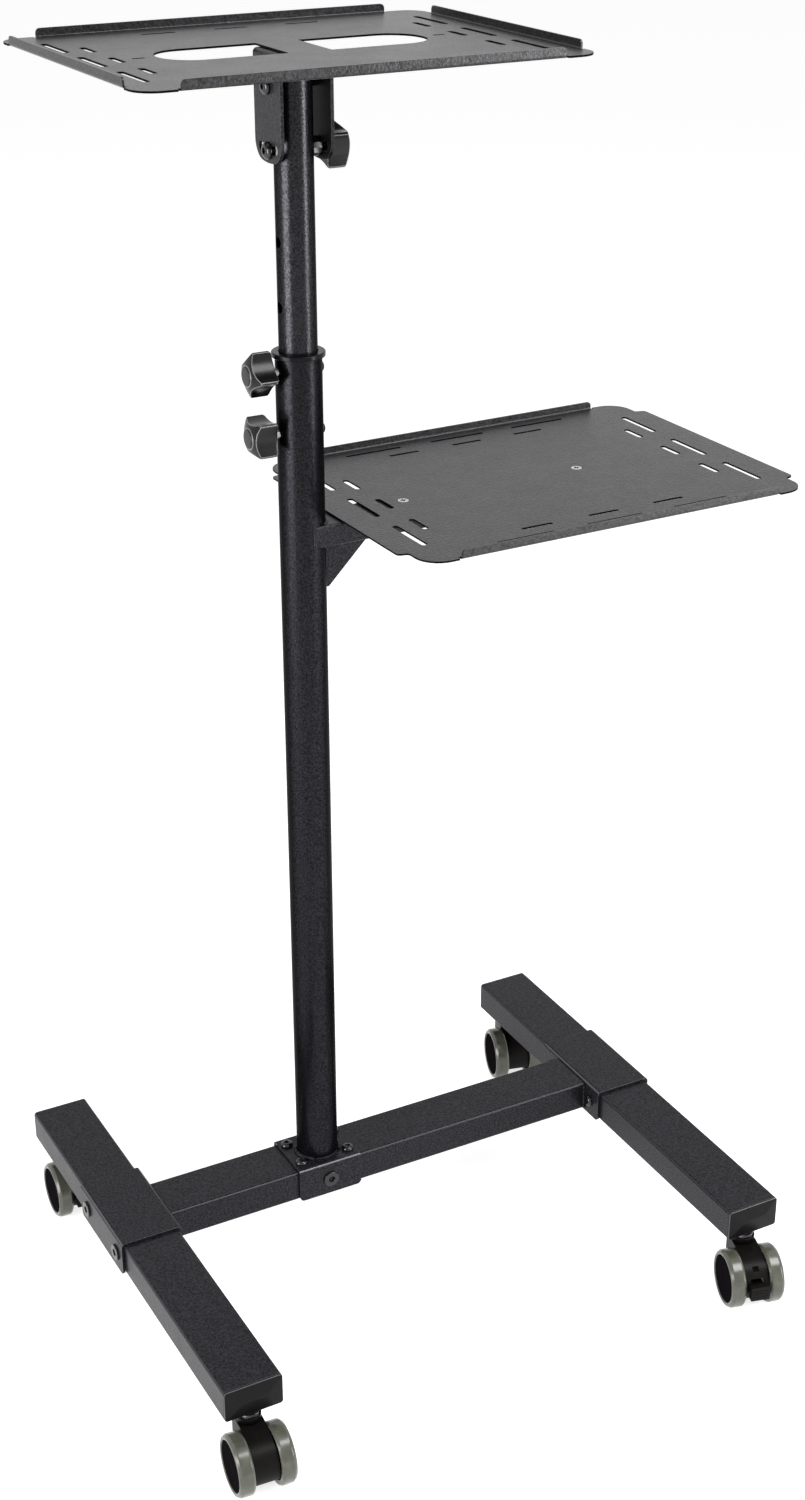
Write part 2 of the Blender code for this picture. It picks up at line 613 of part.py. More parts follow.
def make_leg_bolts(root, screw_steel, side, leg_x, outward):
    grip = 2 * (LEG_BRACKET_HALF_WIDTH + SEAT_GAP)
    for end, bolt_y in (("front", -LEG_BOLT_SPACING / 2), ("back", LEG_BOLT_SPACING / 2)):
        bolt = sleeve_nut_bolt(grip, "YZ")
        turn = 0 if outward > 0 else math.pi
        piece(side + "_leg_" + end + "_bolt", bolt, screw_steel, root,
              (leg_x - outward * grip / 2, bolt_y, BOLT_HEIGHT), (0, 0, turn))


def saddle_screw_places():
    return [(x, y) for x in (-SADDLE_SCREW_X, SADDLE_SCREW_X)
            for y in (-SADDLE_SCREW_Y, SADDLE_SCREW_Y)]


def make_saddle(root, coat, screw_steel):
    """The folded bracket that straddles the cross tube and carries the column."""
    bottom = BASE_HEIGHT - BRACKET_DROP
    half = SADDLE_LENGTH / 2
    reach = SADDLE_HALF_WIDTH + CUT_OVERRUN
    outline = folded_u(SADDLE_HALF_WIDTH, BRACKET_TOP, bottom, BRACKET_SHEET, BRACKET_BEND)
    body = prism(outline, -half - CUT_OVERRUN, half + CUT_OVERRUN, "YZ")
    saddle = piece("saddle_bracket", body, coat, root)
    shape(saddle, [flange_trim(half, bottom, BRACKET_TOP, -reach, reach, "XZ")], "INTERSECT")
    holes = [rod(BOLT_RADIUS + SEAT_GAP, -reach, reach, "XZ", (0, BOLT_HEIGHT))]
    for place in saddle_screw_places():
        holes.append(rod(BOLT_RADIUS + SEAT_GAP, TUBE_TOP - TUBE_WALL,
                         BRACKET_TOP + CUT_OVERRUN, "XY", place))
    shape(saddle, holes)

    names = ("back_left", "front_left", "back_right", "front_right")
    places = ((-1, 1), (-1, -1), (1, 1), (1, -1))
    for name, (side, end) in zip(names, places):
        piece("saddle_screw_" + name, button_screw(SADDLE_SCREW_LENGTH, "XY"), screw_steel, root,
              (side * SADDLE_SCREW_X, end * SADDLE_SCREW_Y, BRACKET_TOP + SEAT_GAP))
    grip = 2 * (SADDLE_HALF_WIDTH + SEAT_GAP)
    piece("saddle_side_bolt", sleeve_nut_bolt(grip, "XZ"), screw_steel, root,
          (0, grip / 2, BOLT_HEIGHT), (0, 0, math.pi))


def make_column(root, mast, coat, plastic):
    """Outer pole, the bush in its mouth, the sliding inner pole and the two clamps."""
    outer = circle(POLE_RADIUS, FINE_SIDES)
    inner = circle(POLE_RADIUS - POLE_WALL, FINE_SIDES)
    pole = piece("outer_pole", tube(outer, inner, POLE_BOTTOM, POLE_TOP), coat, root)
    holes = []
    for height in CLAMP_HEIGHTS:
        holes.append(rod(CLAMP_SCREW_RADIUS + SEAT_GAP, -POLE_RADIUS - CUT_OVERRUN, -MAST_RADIUS,
                         "YZ", (0, height)))
        holes.append(rod(LUG_RADIUS + SEAT_GAP, MAST_RADIUS, POLE_RADIUS + CUT_OVERRUN,
                         "YZ", (0, height)))
    shape(pole, holes)

    make_bush(root, plastic)

    outer = circle(MAST_RADIUS, FINE_SIDES)
    inner = circle(MAST_RADIUS - MAST_WALL, FINE_SIDES)
    inner_pole = piece("inner_pole", tube(outer, inner, MAST_BOTTOM, MAST_TOP), coat, mast)
    holes = []
    for step in range(-INDEX_HOLES_BELOW, INDEX_HOLES_ABOVE + 1):
        height = LOWER_CLAMP_HEIGHT + step * INDEX_PITCH
        holes.append(rod(INDEX_HOLE_RADIUS, -MAST_RADIUS - CUT_OVERRUN,
                         MAST_WALL + CUT_OVERRUN - MAST_RADIUS, "YZ", (0, height)))
    for height in (PIVOT_HEIGHT, CLAMP_BOLT_HEIGHT):
        reach = MAST_RADIUS + CUT_OVERRUN
        holes.append(rod(HEAD_BOLT_RADIUS + SEAT_GAP, -reach, reach, "YZ", (0, height)))
    shape(inner_pole, holes)


def make_bush(root, plastic):
    """Plastic bush: a collar over the pole's mouth, a thin sleeve and two lugs that snap in."""
    outer = POLE_RADIUS - POLE_WALL - SEAT_GAP
    bore = MAST_RADIUS + SEAT_GAP
    seat = POLE_TOP + SEAT_GAP
    top = seat + COLLAR_HEIGHT
    profile = (
        (outer, BUSH_BOTTOM), (outer, seat), (COLLAR_RADIUS, seat),
        (COLLAR_RADIUS, top - COLLAR_CHAMFER), (COLLAR_RADIUS - COLLAR_CHAMFER, top),
        (bore, top), (bore, BUSH_BOTTOM),
    )
    bush = piece("pole_bush", turned(profile, FINE_SIDES, wall=True), plastic, root)
    lugs = []
    for height in CLAMP_HEIGHTS:
        root_x = (outer + bore) / 2
        tip_x = POLE_RADIUS + LUG_PROUD
        shares = ((1.0, 0.0), (1.0, 0.6), (0.8, 0.88), (0.4, 1.0))
        rings = []
        for radius_share, reach_share in shares:
            x = root_x + (tip_x - root_x) * reach_share
            outline = circle(LUG_RADIUS * radius_share, SMALL_SIDES, (0, height))
            rings.append([(x, y, z) for y, z in outline])
        lugs.append(skin(rings))
    shape(bush, lugs, "UNION")
    holes = [rod(CLAMP_SCREW_RADIUS + SEAT_GAP, -POLE_RADIUS, -bore + CUT_OVERRUN, "YZ",
                 (0, height)) for height in CLAMP_HEIGHTS]
    shape(bush, holes)


def ridged_outline(ridge_radius, waist):
    """Flat-topped ridges, with a side between each two that sinks to the waist as a parabola."""
    turn = math.pi / KNOB_RIDGES
    half_ridge = KNOB_RIDGE_WIDTH / 2
    rim = ridge_radius * math.cos(turn) + half_ridge * math.sin(turn)
    half_side = ridge_radius * math.sin(turn) - half_ridge * math.cos(turn)
    outline = []
    for ridge in range(KNOB_RIDGES):
        facing = (2 * ridge + 1) * turn
        for step in range(SCOOP_SIDES):
            share = 2 * step / (SCOOP_SIDES - 1) - 1
            out, across = waist + (rim - waist) * share ** 2, half_side * share
            outline.append((out * math.cos(facing) - across * math.sin(facing),
                            out * math.sin(facing) + across * math.cos(facing)))
    return outline


def knob_body(depth, bore_radius, bore_depth):
    """Knob along +X from its base at zero: its end falls away as a cone round a raised disc."""
    full = ridged_outline(KNOB_RIDGE_RADIUS, KNOB_WAIST_RADIUS)
    base = ridged_outline(KNOB_RIDGE_RADIUS - KNOB_BASE_CHAMFER, KNOB_WAIST_RADIUS)

    def ring(radius, along):
        return [(along, y * radius / math.hypot(y, z), z * radius / math.hypot(y, z))
                for y, z in full]

    def cone(radius):
        return depth - KNOB_RIDGE_TO_END + (KNOB_RIDGE_RADIUS - radius) * KNOB_END_SLOPE

    foot = KNOB_FACE_RADIUS + KNOB_FACE_FILLET
    return skin([
        ring(bore_radius, bore_depth), ring(bore_radius, 0),
        [(0, y, z) for y, z in base],
        [(KNOB_BASE_CHAMFER, y, z) for y, z in full],
        [(cone(math.hypot(y, z)), y, z) for y, z in full],
        ring(foot, cone(foot)), ring(KNOB_FACE_RADIUS, depth),
    ])


def make_clamps(root, clamps, plastic, bright_steel):
    """Each clamp: a screw through the pole's wall and the knob on its outer end."""
    knob_x = POLE_RADIUS + CLAMP_KNOB_FROM_POLE
    tip_x = MAST_RADIUS + SEAT_GAP
    bore = CLAMP_SCREW_RADIUS + SEAT_GAP
    bore_depth = CLAMP_SCREW_IN_KNOB + SEAT_GAP
    turns = {"upper": UPPER_KNOB_TURN, "lower": LOWER_KNOB_TURN}
    for name, holder in clamps.items():
        facing_left = (0, 0, math.pi)
        screw = rod(CLAMP_SCREW_RADIUS, tip_x, knob_x + CLAMP_SCREW_IN_KNOB, "YZ")
        piece(name + "_clamp_screw", screw, bright_steel, holder, (0, 0, 0), facing_left)
        knob = piece(name + "_clamp_knob", knob_body(CLAMP_KNOB_DEPTH, bore, bore_depth),
                     plastic, holder, (-knob_x, 0, 0), facing_left)
        knob.rotation_mode = "XYZ"
        knob.rotation_euler = (turns[name], 0, math.pi)


def folded_tray(width, depth, front_lip, side_tab, tab_reach, ear_radius, holes):
    """Flat blank with tabs and ears, cut with its holes, its tabs then folded up as lips.

    Front and back tabs always fold up. Side tabs fold up too where tab_reach is None, and stay
    flat and reach past the ears by tab_reach otherwise. The blank lies with its underside at
    zero, its middle at zero.
    """
    fold_run = LIP_BEND * math.pi / 2
    flat_lip = fold_run + LIP_HEIGHT - LIP_BEND
    ear_x, ear_y = width / 2, depth / 2
    fold_x, fold_y = ear_x - LIP_BEND, ear_y - LIP_BEND
    side_folds = tab_reach is None
    tab_x = fold_x + flat_lip if side_folds else ear_x + tab_reach
    tab_y = fold_y + flat_lip
    side_root = fold_x - RELIEF_DEPTH if side_folds else ear_x
    front_root = fold_y - RELIEF_DEPTH
    side_end, front_end = side_tab / 2, front_lip / 2
    quarter = (
        (tab_x, side_end, LIP_CORNER), (side_root, side_end, 0),
        (side_root, side_end + LIP_RELIEF, 0), (ear_x, side_end + LIP_RELIEF, EAR_FILLET),
        (ear_x, ear_y, ear_radius), (front_end + LIP_RELIEF, ear_y, EAR_FILLET),
        (front_end + LIP_RELIEF, front_root, 0), (front_end, front_root, 0),
        (front_end, tab_y, LIP_CORNER),
    )
    if not side_folds:
        quarter = quarter[:1] + quarter[2:3] + quarter[4:]
    corners = []
    for side, end in ((1, 1), (-1, 1), (-1, -1), (1, -1)):
        run = [(side * u, end * v, radius) for u, v, radius in quarter]
        corners += run if side * end > 0 else run[::-1]

    body = sheet([filleted(corners)] + holes, TRAY_SHEET)
    fold_lips(body, 1, fold_y, front_end)
    if side_folds:
        fold_lips(body, 0, fold_x, side_end)
    bmesh.ops.dissolve_limit(body, angle_limit=FLAT_ANGLE, verts=body.verts, edges=body.edges)
    bmesh.ops.triangulate(body, faces=body.faces)
    return body


def sheet(outlines, thickness):
    """A flat sheet inside the first outline, with the other outlines as holes."""
    body = bmesh.new()
    edges = []
    for outline in outlines:
        loop = [body.verts.new((u, v, 0)) for u, v in outline]
        for index, vertex in enumerate(loop):
            edges.append(body.edges.new((vertex, loop[(index + 1) % len(loop)])))
    bmesh.ops.triangle_fill(body, edges=edges, use_beauty=True)
    raised = bmesh.ops.extrude_face_region(body, geom=body.faces[:])
    lifted = [item for item in raised["geom"] if isinstance(item, bmesh.types.BMVert)]
    bmesh.ops.translate(body, vec=(0, 0, thickness), verts=lifted)
    bmesh.ops.recalc_face_normals(body, faces=body.faces)
    return body


def fold_lips(body, axis, fold_line, half_length):
    """Rolls what lies beyond the fold line up through a right angle, at both ends of an axis."""
    run = LIP_BEND * math.pi / 2
    across = 1 - axis
    for side in (-1, 1):
        for step in range(FILLET_STEPS + 1):
            place = Vector((0, 0, 0))
            place[axis] = side * (fold_line + run * step / FILLET_STEPS)
            normal = Vector((0, 0, 0))
            normal[axis] = side
            geometry = body.verts[:] + body.edges[:] + body.faces[:]
            bmesh.ops.bisect_plane(body, geom=geometry, plane_co=place, plane_no=normal)
    for vertex in body.verts:
        beyond = abs(vertex.co[axis]) - fold_line
        if beyond <= 0 or abs(vertex.co[across]) > half_length + LIP_RELIEF / 2:
            continue
        angle = min(beyond, run) / LIP_BEND
        radius = LIP_BEND - vertex.co.z
        straight = max(beyond - run, 0)
        outward = fold_line + radius * math.sin(angle) + straight * math.cos(angle)
        vertex.co[axis] = math.copysign(outward, vertex.co[axis])
        vertex.co.z = LIP_BEND - radius * math.cos(angle) + straight * math.sin(angle)


def slot_row(centre, pitch, length, direction):
    """Three slots in a line along their own length."""
    u, v = centre
    steps = (-pitch, 0, pitch)
    if direction == "X":
        return [slot((u + step, v), length, "X") for step in steps]
    return [slot((u, v + step), length, "Y") for step in steps]


def make_top_tray(head, coat):
    holes = []
    for side in (-1, 1):
        holes += slot_row((side * TOP_LONG_SLOT_X, 0), TOP_LONG_SLOT_PITCH, TOP_LONG_SLOT, "Y")
        holes += slot_row((side * TOP_SHORT_SLOT_X, 0), TOP_SHORT_SLOT_PITCH, TOP_SHORT_SLOT, "Y")
        holes += slot_row((0, side * TOP_ROW_Y), TOP_ROW_PITCH, TOP_ROW_SLOT, "X")
        holes.append(slot((side * TOP_CENTRE_SLOT_X, 0), TOP_CENTRE_SLOT, "X"))
        half = WINDOW_DEPTH / 2
        window = filleted([
            (WINDOW_INNER_X, -half, WINDOW_INNER_FILLET), (WINDOW_OUTER_X, -half, WINDOW_OUTER_FILLET),
            (WINDOW_OUTER_X, half, WINDOW_OUTER_FILLET), (WINDOW_INNER_X, half, WINDOW_INNER_FILLET),
        ])
        holes.append([(side * u, v) for u, v in window])
    body = folded_tray(TOP_TRAY_WIDTH, TOP_TRAY_DEPTH, TOP_FRONT_LIP, TOP_SIDE_LIP, None,
                       TOP_EAR_RADIUS, holes)
    piece("top_tray", body, coat, head, (TOP_TRAY_X, 0, TOP_TRAY_HEIGHT - PIVOT_HEIGHT))


def make_lower_tray(arm_frame, coat, screw_steel):
    """The arm welded to the pole, its gusset, the flat-sided tray and its two screws."""
    screws = (("near", TRAY_SCREW_NEAR_X), ("far", TRAY_SCREW_FAR_X))
    holes = []
    for side in (-1, 1):
        holes += slot_row((side * LOWER_LONG_SLOT_X, 0), LOWER_LONG_SLOT_PITCH,
                          LOWER_LONG_SLOT, "Y")
        holes += slot_row((side * LOWER_SHORT_SLOT_X, 0), LOWER_SHORT_SLOT_PITCH,
                          LOWER_SHORT_SLOT, "Y")
        holes += slot_row((0, side * LOWER_LONG_ROW_Y), LOWER_LONG_ROW_PITCH,
                          LOWER_LONG_ROW_SLOT, "X")
        holes += slot_row((0, side * LOWER_SHORT_ROW_Y), LOWER_SHORT_ROW_PITCH,
                          LOWER_SHORT_ROW_SLOT, "X")
    body = folded_tray(LOWER_TRAY_WIDTH, LOWER_TRAY_DEPTH, LOWER_FRONT_LIP, LOWER_SIDE_TAB,
                       LOWER_TAB_REACH, LOWER_EAR_RADIUS, holes)
    tray = piece("lower_tray", body, coat, arm_frame, (LOWER_TRAY_X, 0, LOWER_TRAY_HEIGHT))
    sinks = []
    for _, screw_x in screws:
        sink = (
            (TRAY_SCREW_RADIUS + SEAT_GAP, -CUT_OVERRUN), (TRAY_SCREW_RADIUS + SEAT_GAP, 0),
            (TRAY_SCREW_HEAD + SEAT_GAP, TRAY_SHEET),
            (TRAY_SCREW_HEAD + SEAT_GAP, TRAY_SHEET + CUT_OVERRUN),
        )
        cutter = turned(sink, SMALL_SIDES)
        sinks.append(placed(cutter, Matrix.Translation((screw_x - LOWER_TRAY_X, 0, 0))))
    shape(tray, sinks)

    body = box_tube(ARM_WIDTH, ARM_HEIGHT, TUBE_WALL, ARM_CORNER, 0, ARM_END_X, "YZ",
                    (0, (ARM_TOP + ARM_BOTTOM) / 2))
    arm = piece("tray_arm", body, coat, arm_frame)
    cuts = [rod(POLE_RADIUS + SEAT_GAP, ARM_BOTTOM - CUT_OVERRUN, ARM_TOP + CUT_OVERRUN, "XY",
                sides=FINE_SIDES)]
    for _, screw_x in screws:
        cuts.append(rod(TRAY_SCREW_RADIUS + SEAT_GAP, ARM_TOP - 2 * TUBE_WALL,
                        ARM_TOP + CUT_OVERRUN, "XY", (screw_x, 0)))
    shape(arm, cuts)

    left, top = POLE_RADIUS + SEAT_GAP, ARM_BOTTOM - SEAT_GAP
    gusset = [
        (left, top), (left, top - GUSSET_SIZE), (left + GUSSET_CLIP, top - GUSSET_SIZE),
        (left + GUSSET_SIZE, top - GUSSET_CLIP), (left + GUSSET_SIZE, top),
    ]
    piece("arm_gusset", prism(gusset, -GUSSET_SHEET / 2, GUSSET_SHEET / 2, "XZ"), coat, arm_frame)

    head_top = TRAY_SHEET
    profile = (
        (TRAY_SCREW_RADIUS, -TRAY_SCREW_LENGTH), (TRAY_SCREW_RADIUS, 0),
        (TRAY_SCREW_HEAD, head_top), (TRAY_SCREW_RECESS, head_top),
        (TRAY_SCREW_RECESS, head_top - TRAY_SCREW_RECESS_DEPTH),
    )
    for name, screw_x in screws:
        piece("lower_tray_screw_" + name, turned(profile, SMALL_SIDES), screw_steel, arm_frame,
              (screw_x, 0, LOWER_TRAY_HEIGHT))


def arc_slot(radius, half_width, half_angle):
    """A slot bent round the pivot: outline in (y, z) about the pivot, hanging below it."""
    steps = 2 * FILLET_STEPS
    outline = []
    for step in range(steps + 1):
        angle = half_angle * (2 * step / steps - 1)
        outline.append(((radius + half_width) * math.sin(angle),
                        -(radius + half_width) * math.cos(angle)))
    outline += end_arc(radius, half_width, half_angle)
    for step in range(steps + 1):
        angle = half_angle * (1 - 2 * step / steps)
        outline.append(((radius - half_width) * math.sin(angle),
                        -(radius - half_width) * math.cos(angle)))
    outline += end_arc(radius, -half_width, -half_angle)
    return outline


def end_arc(radius, half_width, angle):
    """The points between a slot's long sides, round its end."""
    centre = (radius * math.sin(angle), -radius * math.cos(angle))
    points = []
    for step in range(1, FILLET_STEPS + 1):
        turn = angle - math.pi / 2 + math.pi * step / (FILLET_STEPS + 1)
        points.append((centre[0] + half_width * math.cos(turn),
                       centre[1] + half_width * math.sin(turn)))
    return points


def make_tilt_head(mast, head, knob_frame, coat, plastic, bright_steel):
    """Folded bracket under the top tray: pivoted at the pole's head, clamped in arc slots."""
    half_width = HEAD_INNER_WIDTH / 2 + HEAD_SHEET
    half_depth = HEAD_DEPTH / 2
    top, bottom = HEAD_TOP - PIVOT_HEIGHT, HEAD_BOTTOM - PIVOT_HEIGHT
    outline = folded_u(half_width, top, bottom, HEAD_SHEET, HEAD_BEND)
    outline = [(HEAD_SHIFT + u, v) for u, v in outline]
    body = prism(outline, -half_depth - CUT_OVERRUN, half_depth + CUT_OVERRUN, "XZ")
    bracket = piece("tilt_bracket", body, coat, head)
    reach = half_width + CUT_OVERRUN
    start, end = HEAD_SHIFT - reach, HEAD_SHIFT + reach
    trim = filleted([
        (-half_depth, bottom, HEAD_CORNER), (half_depth, bottom, HEAD_CORNER),
        (half_depth, top + CUT_OVERRUN, 0), (-half_depth, top + CUT_OVERRUN, 0),
    ])
    shape(bracket, [prism(trim, start, end, "YZ")], "INTERSECT")
    half_slot = HEAD_BOLT_RADIUS + SEAT_GAP
    half_angle = TILT_LIMIT + TILT_END_CLEARANCE / CLAMP_BOLT_DROP
    slots = prism(arc_slot(CLAMP_BOLT_DROP, half_slot, half_angle), start, end, "YZ")
    shape(bracket, [slots, rod(half_slot, start, end, "YZ")])

    left = HEAD_LEFT_X - HEAD_SHEET - SEAT_GAP
    right = HEAD_RIGHT_X + HEAD_SHEET + SEAT_GAP
    head_profile = (
        (BUTTON_SOCKET, left - HEAD_BOLT_HEAD_HEIGHT + SOCKET_DEPTH),
        (BUTTON_SOCKET, left - HEAD_BOLT_HEAD_HEIGHT),
        (HEAD_BOLT_HEAD_RADIUS * 0.5, left - HEAD_BOLT_HEAD_HEIGHT),
        (HEAD_BOLT_HEAD_RADIUS * 0.8, left - HEAD_BOLT_HEAD_HEIGHT * 0.82),
        (HEAD_BOLT_HEAD_RADIUS, left - HEAD_BOLT_HEAD_HEIGHT * 0.4),
        (HEAD_BOLT_HEAD_RADIUS, left), (HEAD_BOLT_RADIUS, left),
    )
    pivot_profile = head_profile + (
        (HEAD_BOLT_RADIUS, right), (PIVOT_NUT_RADIUS, right),
        (PIVOT_NUT_RADIUS, right + PIVOT_NUT_HEIGHT), (HEAD_BOLT_RADIUS, right + PIVOT_NUT_HEIGHT),
    )
    piece("tilt_pivot_bolt", turned(pivot_profile, SMALL_SIDES, "YZ"), bright_steel, mast,
          (0, 0, PIVOT_HEIGHT))
    clamp_profile = head_profile + ((HEAD_BOLT_RADIUS, right + CLAMP_BOLT_IN_KNOB),)
    piece("tilt_clamp_bolt", turned(clamp_profile, SMALL_SIDES, "YZ"), bright_steel, mast,
          (0, 0, CLAMP_BOLT_HEIGHT))

    knob = piece("tilt_knob", knob_body(TILT_KNOB_DEPTH, HEAD_BOLT_RADIUS + SEAT_GAP,
                                        CLAMP_BOLT_IN_KNOB + SEAT_GAP), plastic, knob_frame,
                 (right, 0, 0))
    knob.rotation_euler = (TILT_KNOB_TURN, 0, 0)

    for side, face in (("left", HEAD_LEFT_X + SEAT_GAP), ("right", HEAD_RIGHT_X - SEAT_GAP)):
        make_saddle_spacer(mast, bright_steel, side, face)


def make_saddle_spacer(mast, surface, side, face):
    """A ring on the clamp bolt, flat against the bracket and hollowed to the pole's round."""
    outer = circle(SPACER_RADIUS, SMALL_SIDES, (0, CLAMP_BOLT_HEIGHT))
    inner = circle(HEAD_BOLT_RADIUS + SEAT_GAP, SMALL_SIDES, (0, CLAMP_BOLT_HEIGHT))
    near = math.copysign(MAST_RADIUS * math.cos(math.asin(SPACER_RADIUS / MAST_RADIUS)), face)
    spacer = piece(side + "_clamp_spacer", tube(outer, inner, near, face, "YZ"), surface, mast)
    shape(spacer, [rod(MAST_RADIUS + SEAT_GAP, CLAMP_BOLT_HEIGHT - 2 * SPACER_RADIUS,
                       CLAMP_BOLT_HEIGHT + 2 * SPACER_RADIUS, "XY", sides=FINE_SIDES)])


def wheel_body(outward):
    """A moulded wheel on its own axis: a tyre round a hub disc, bored blind from within."""
    width = WHEEL_WIDTH
    bore = AXLE_RADIUS + SEAT_GAP
    profile = (
        (bore, WHEEL_BORE_DEPTH), (bore, 0), (TYRE_RIM_RADIUS, 0), (WHEEL_RADIUS, TREAD_FILLET),
        (WHEEL_RADIUS, width - TREAD_FILLET), (TYRE_RIM_RADIUS, width),
        (HUB_RADIUS, width - HUB_RECESS),
    )
    return turned([(radius, outward * along) for radius, along in profile], WHEEL_SIDES, "YZ")


def hood_outline(radius, bottom, back, shoulder):
    """Side of the hood in (y, z): round in front over the wheels' middle, upright behind."""
    centre_y, centre_z = -CASTER_TRAIL, WHEEL_RADIUS
    start = math.pi + math.asin((centre_z - bottom) / radius)
    corner_y, corner_z = -back, shoulder
    away = math.hypot(corner_y - centre_y, corner_z - centre_z)
    bearing = math.atan2(corner_z - centre_z, corner_y - centre_y)
    end = bearing + math.acos(radius / away)
    outline = [(back, bottom), (back, shoulder), (-back, shoulder)]
    steps = 4 * FILLET_STEPS
    for step in range(steps + 1):
        angle = end + (start - end) * step / steps
        outline.append((centre_y + radius * math.cos(angle), centre_z + radius * math.sin(angle)))
    return outline


def make_hood(name, swivel, plastic, braked):
    """The hood between the wheels: a moulded shell, open below, with a neck for the stem."""
    outline = hood_outline(HOOD_RADIUS, HOOD_BOTTOM, NECK_RADIUS, HOOD_SHOULDER)
    half = HOOD_WIDTH / 2
    hood = piece(name + "_hood", prism(outline, -half, half, "YZ"), plastic, swivel)
    neck = turned(((NECK_RADIUS, HOOD_SHOULDER - CUT_OVERRUN), (NECK_RADIUS, NECK_TOP)),
                  ROUND_SIDES)
    shape(hood, [neck], "UNION")
    inner = hood_outline(HOOD_RADIUS - HOOD_WALL, HOOD_BOTTOM - CUT_OVERRUN,
                         NECK_RADIUS, HOOD_SHOULDER - HOOD_WALL)
    pocket_back = -NECK_RADIUS + HOOD_WALL
    pocket = [(min(y, pocket_back), z) for y, z in inner[2:]]
    pocket.insert(0, (pocket_back, HOOD_BOTTOM - CUT_OVERRUN))
    pocket_half = half - HOOD_WALL
    cuts = [
        prism(pocket, -pocket_half, pocket_half, "YZ"),
        turned(((STEM_PIN_RADIUS + SEAT_GAP, STEM_PIN_BOTTOM - SEAT_GAP),
                (STEM_PIN_RADIUS + SEAT_GAP, NECK_TOP + CUT_OVERRUN)), SMALL_SIDES),
    ]
    shape(hood, cuts)
    across = [rod(AXLE_RADIUS + SEAT_GAP, -WHEEL_SPACE, WHEEL_SPACE, "YZ",
                  (-CASTER_TRAIL, WHEEL_RADIUS))]
    shape(hood, across)
    if braked:
        cut_brake_openings(hood)


def cut_brake_openings(hood):
    """The mouth that the brake's arm leaves through, its pivot holes and the window above."""
    arm_half = BRAKE_ARM_WIDTH / 2 + SEAT_GAP
    front = -CASTER_TRAIL - HOOD_RADIUS - CUT_OVERRUN
    mouth = [(front, HOOD_BOTTOM - CUT_OVERRUN), (BRAKE_PIVOT_Y, HOOD_BOTTOM - CUT_OVERRUN),
             (BRAKE_PIVOT_Y, BRAKE_SLOT_TOP), (front, BRAKE_SLOT_TOP)]
    shape(hood, [prism(mouth, -arm_half, arm_half, "YZ")])
    window_top = BRAKE_WINDOW_BOTTOM + BRAKE_WINDOW_HEIGHT
    window = [(front, BRAKE_WINDOW_BOTTOM), (-CASTER_TRAIL, BRAKE_WINDOW_BOTTOM),
              (-CASTER_TRAIL, window_top), (front, window_top)]
    half = BRAKE_WINDOW_WIDTH / 2
    pivots = rod(BRAKE_PIVOT_RADIUS + SEAT_GAP, -HOOD_WIDTH / 2 - CUT_OVERRUN,
                 HOOD_WIDTH / 2 + CUT_OVERRUN, "YZ", (BRAKE_PIVOT_Y, BRAKE_PIVOT_HEIGHT))
    shape(hood, [prism(window, -half, half, "YZ"), pivots])


def make_brake(name, holder, plastic):
    """The pedal and its arm in one moulding, turning on two trunnions in the hood."""
    y0, z0 = BRAKE_PIVOT_Y, BRAKE_PIVOT_HEIGHT
    arm = [
        (-BRAKE_PIVOT_RADIUS, -BRAKE_ARM_HEIGHT / 2),
        (BRAKE_PIVOT_RADIUS, -BRAKE_ARM_HEIGHT / 2),
        (BRAKE_PIVOT_RADIUS, BRAKE_ARM_HEIGHT / 2),
        (-BRAKE_PIVOT_RADIUS, BRAKE_ARM_HEIGHT / 2),
    ]
    pedal_back = BRAKE_PEDAL_FRONT + BRAKE_PEDAL_FOOT - y0
    arm[0] = (pedal_back - SEAT_GAP, arm[0][1])
    arm[3] = (pedal_back - SEAT_GAP, arm[3][1])
    half = BRAKE_ARM_WIDTH / 2
    lever = piece(name + "_brake_lever", prism(arm, -half, half, "YZ"), plastic, holder)

    front, low, high = BRAKE_PEDAL_FRONT - y0, BRAKE_PEDAL_BOTTOM - z0, BRAKE_PEDAL_TOP - z0
    face = []
    ribbed = (high - low) * (1 - 1 / (BRAKE_RIBS + 1))
    for rib in range(BRAKE_RIBS):
        start = low + ribbed * rib / BRAKE_RIBS
        ridge = ribbed / BRAKE_RIBS / 2
        face += [(front, start), (front, start + ridge),
                 (front + BRAKE_RIB_DEPTH, start + ridge),
                 (front + BRAKE_RIB_DEPTH, start + 2 * ridge)]
    outline = [(pedal_back, high), (pedal_back, low)] + face + [(front, low + ribbed), (front, high)]
    half = BRAKE_PEDAL_WIDTH / 2
    trunnion_reach = BRAKE_ARM_WIDTH / 2 + SEAT_GAP + BRAKE_PIVOT_REACH
    shape(lever, [prism(outline, -half, half, "YZ")], "UNION")
    shape(lever, [rod(BRAKE_PIVOT_RADIUS, -trunnion_reach, trunnion_reach, "YZ")], "UNION")


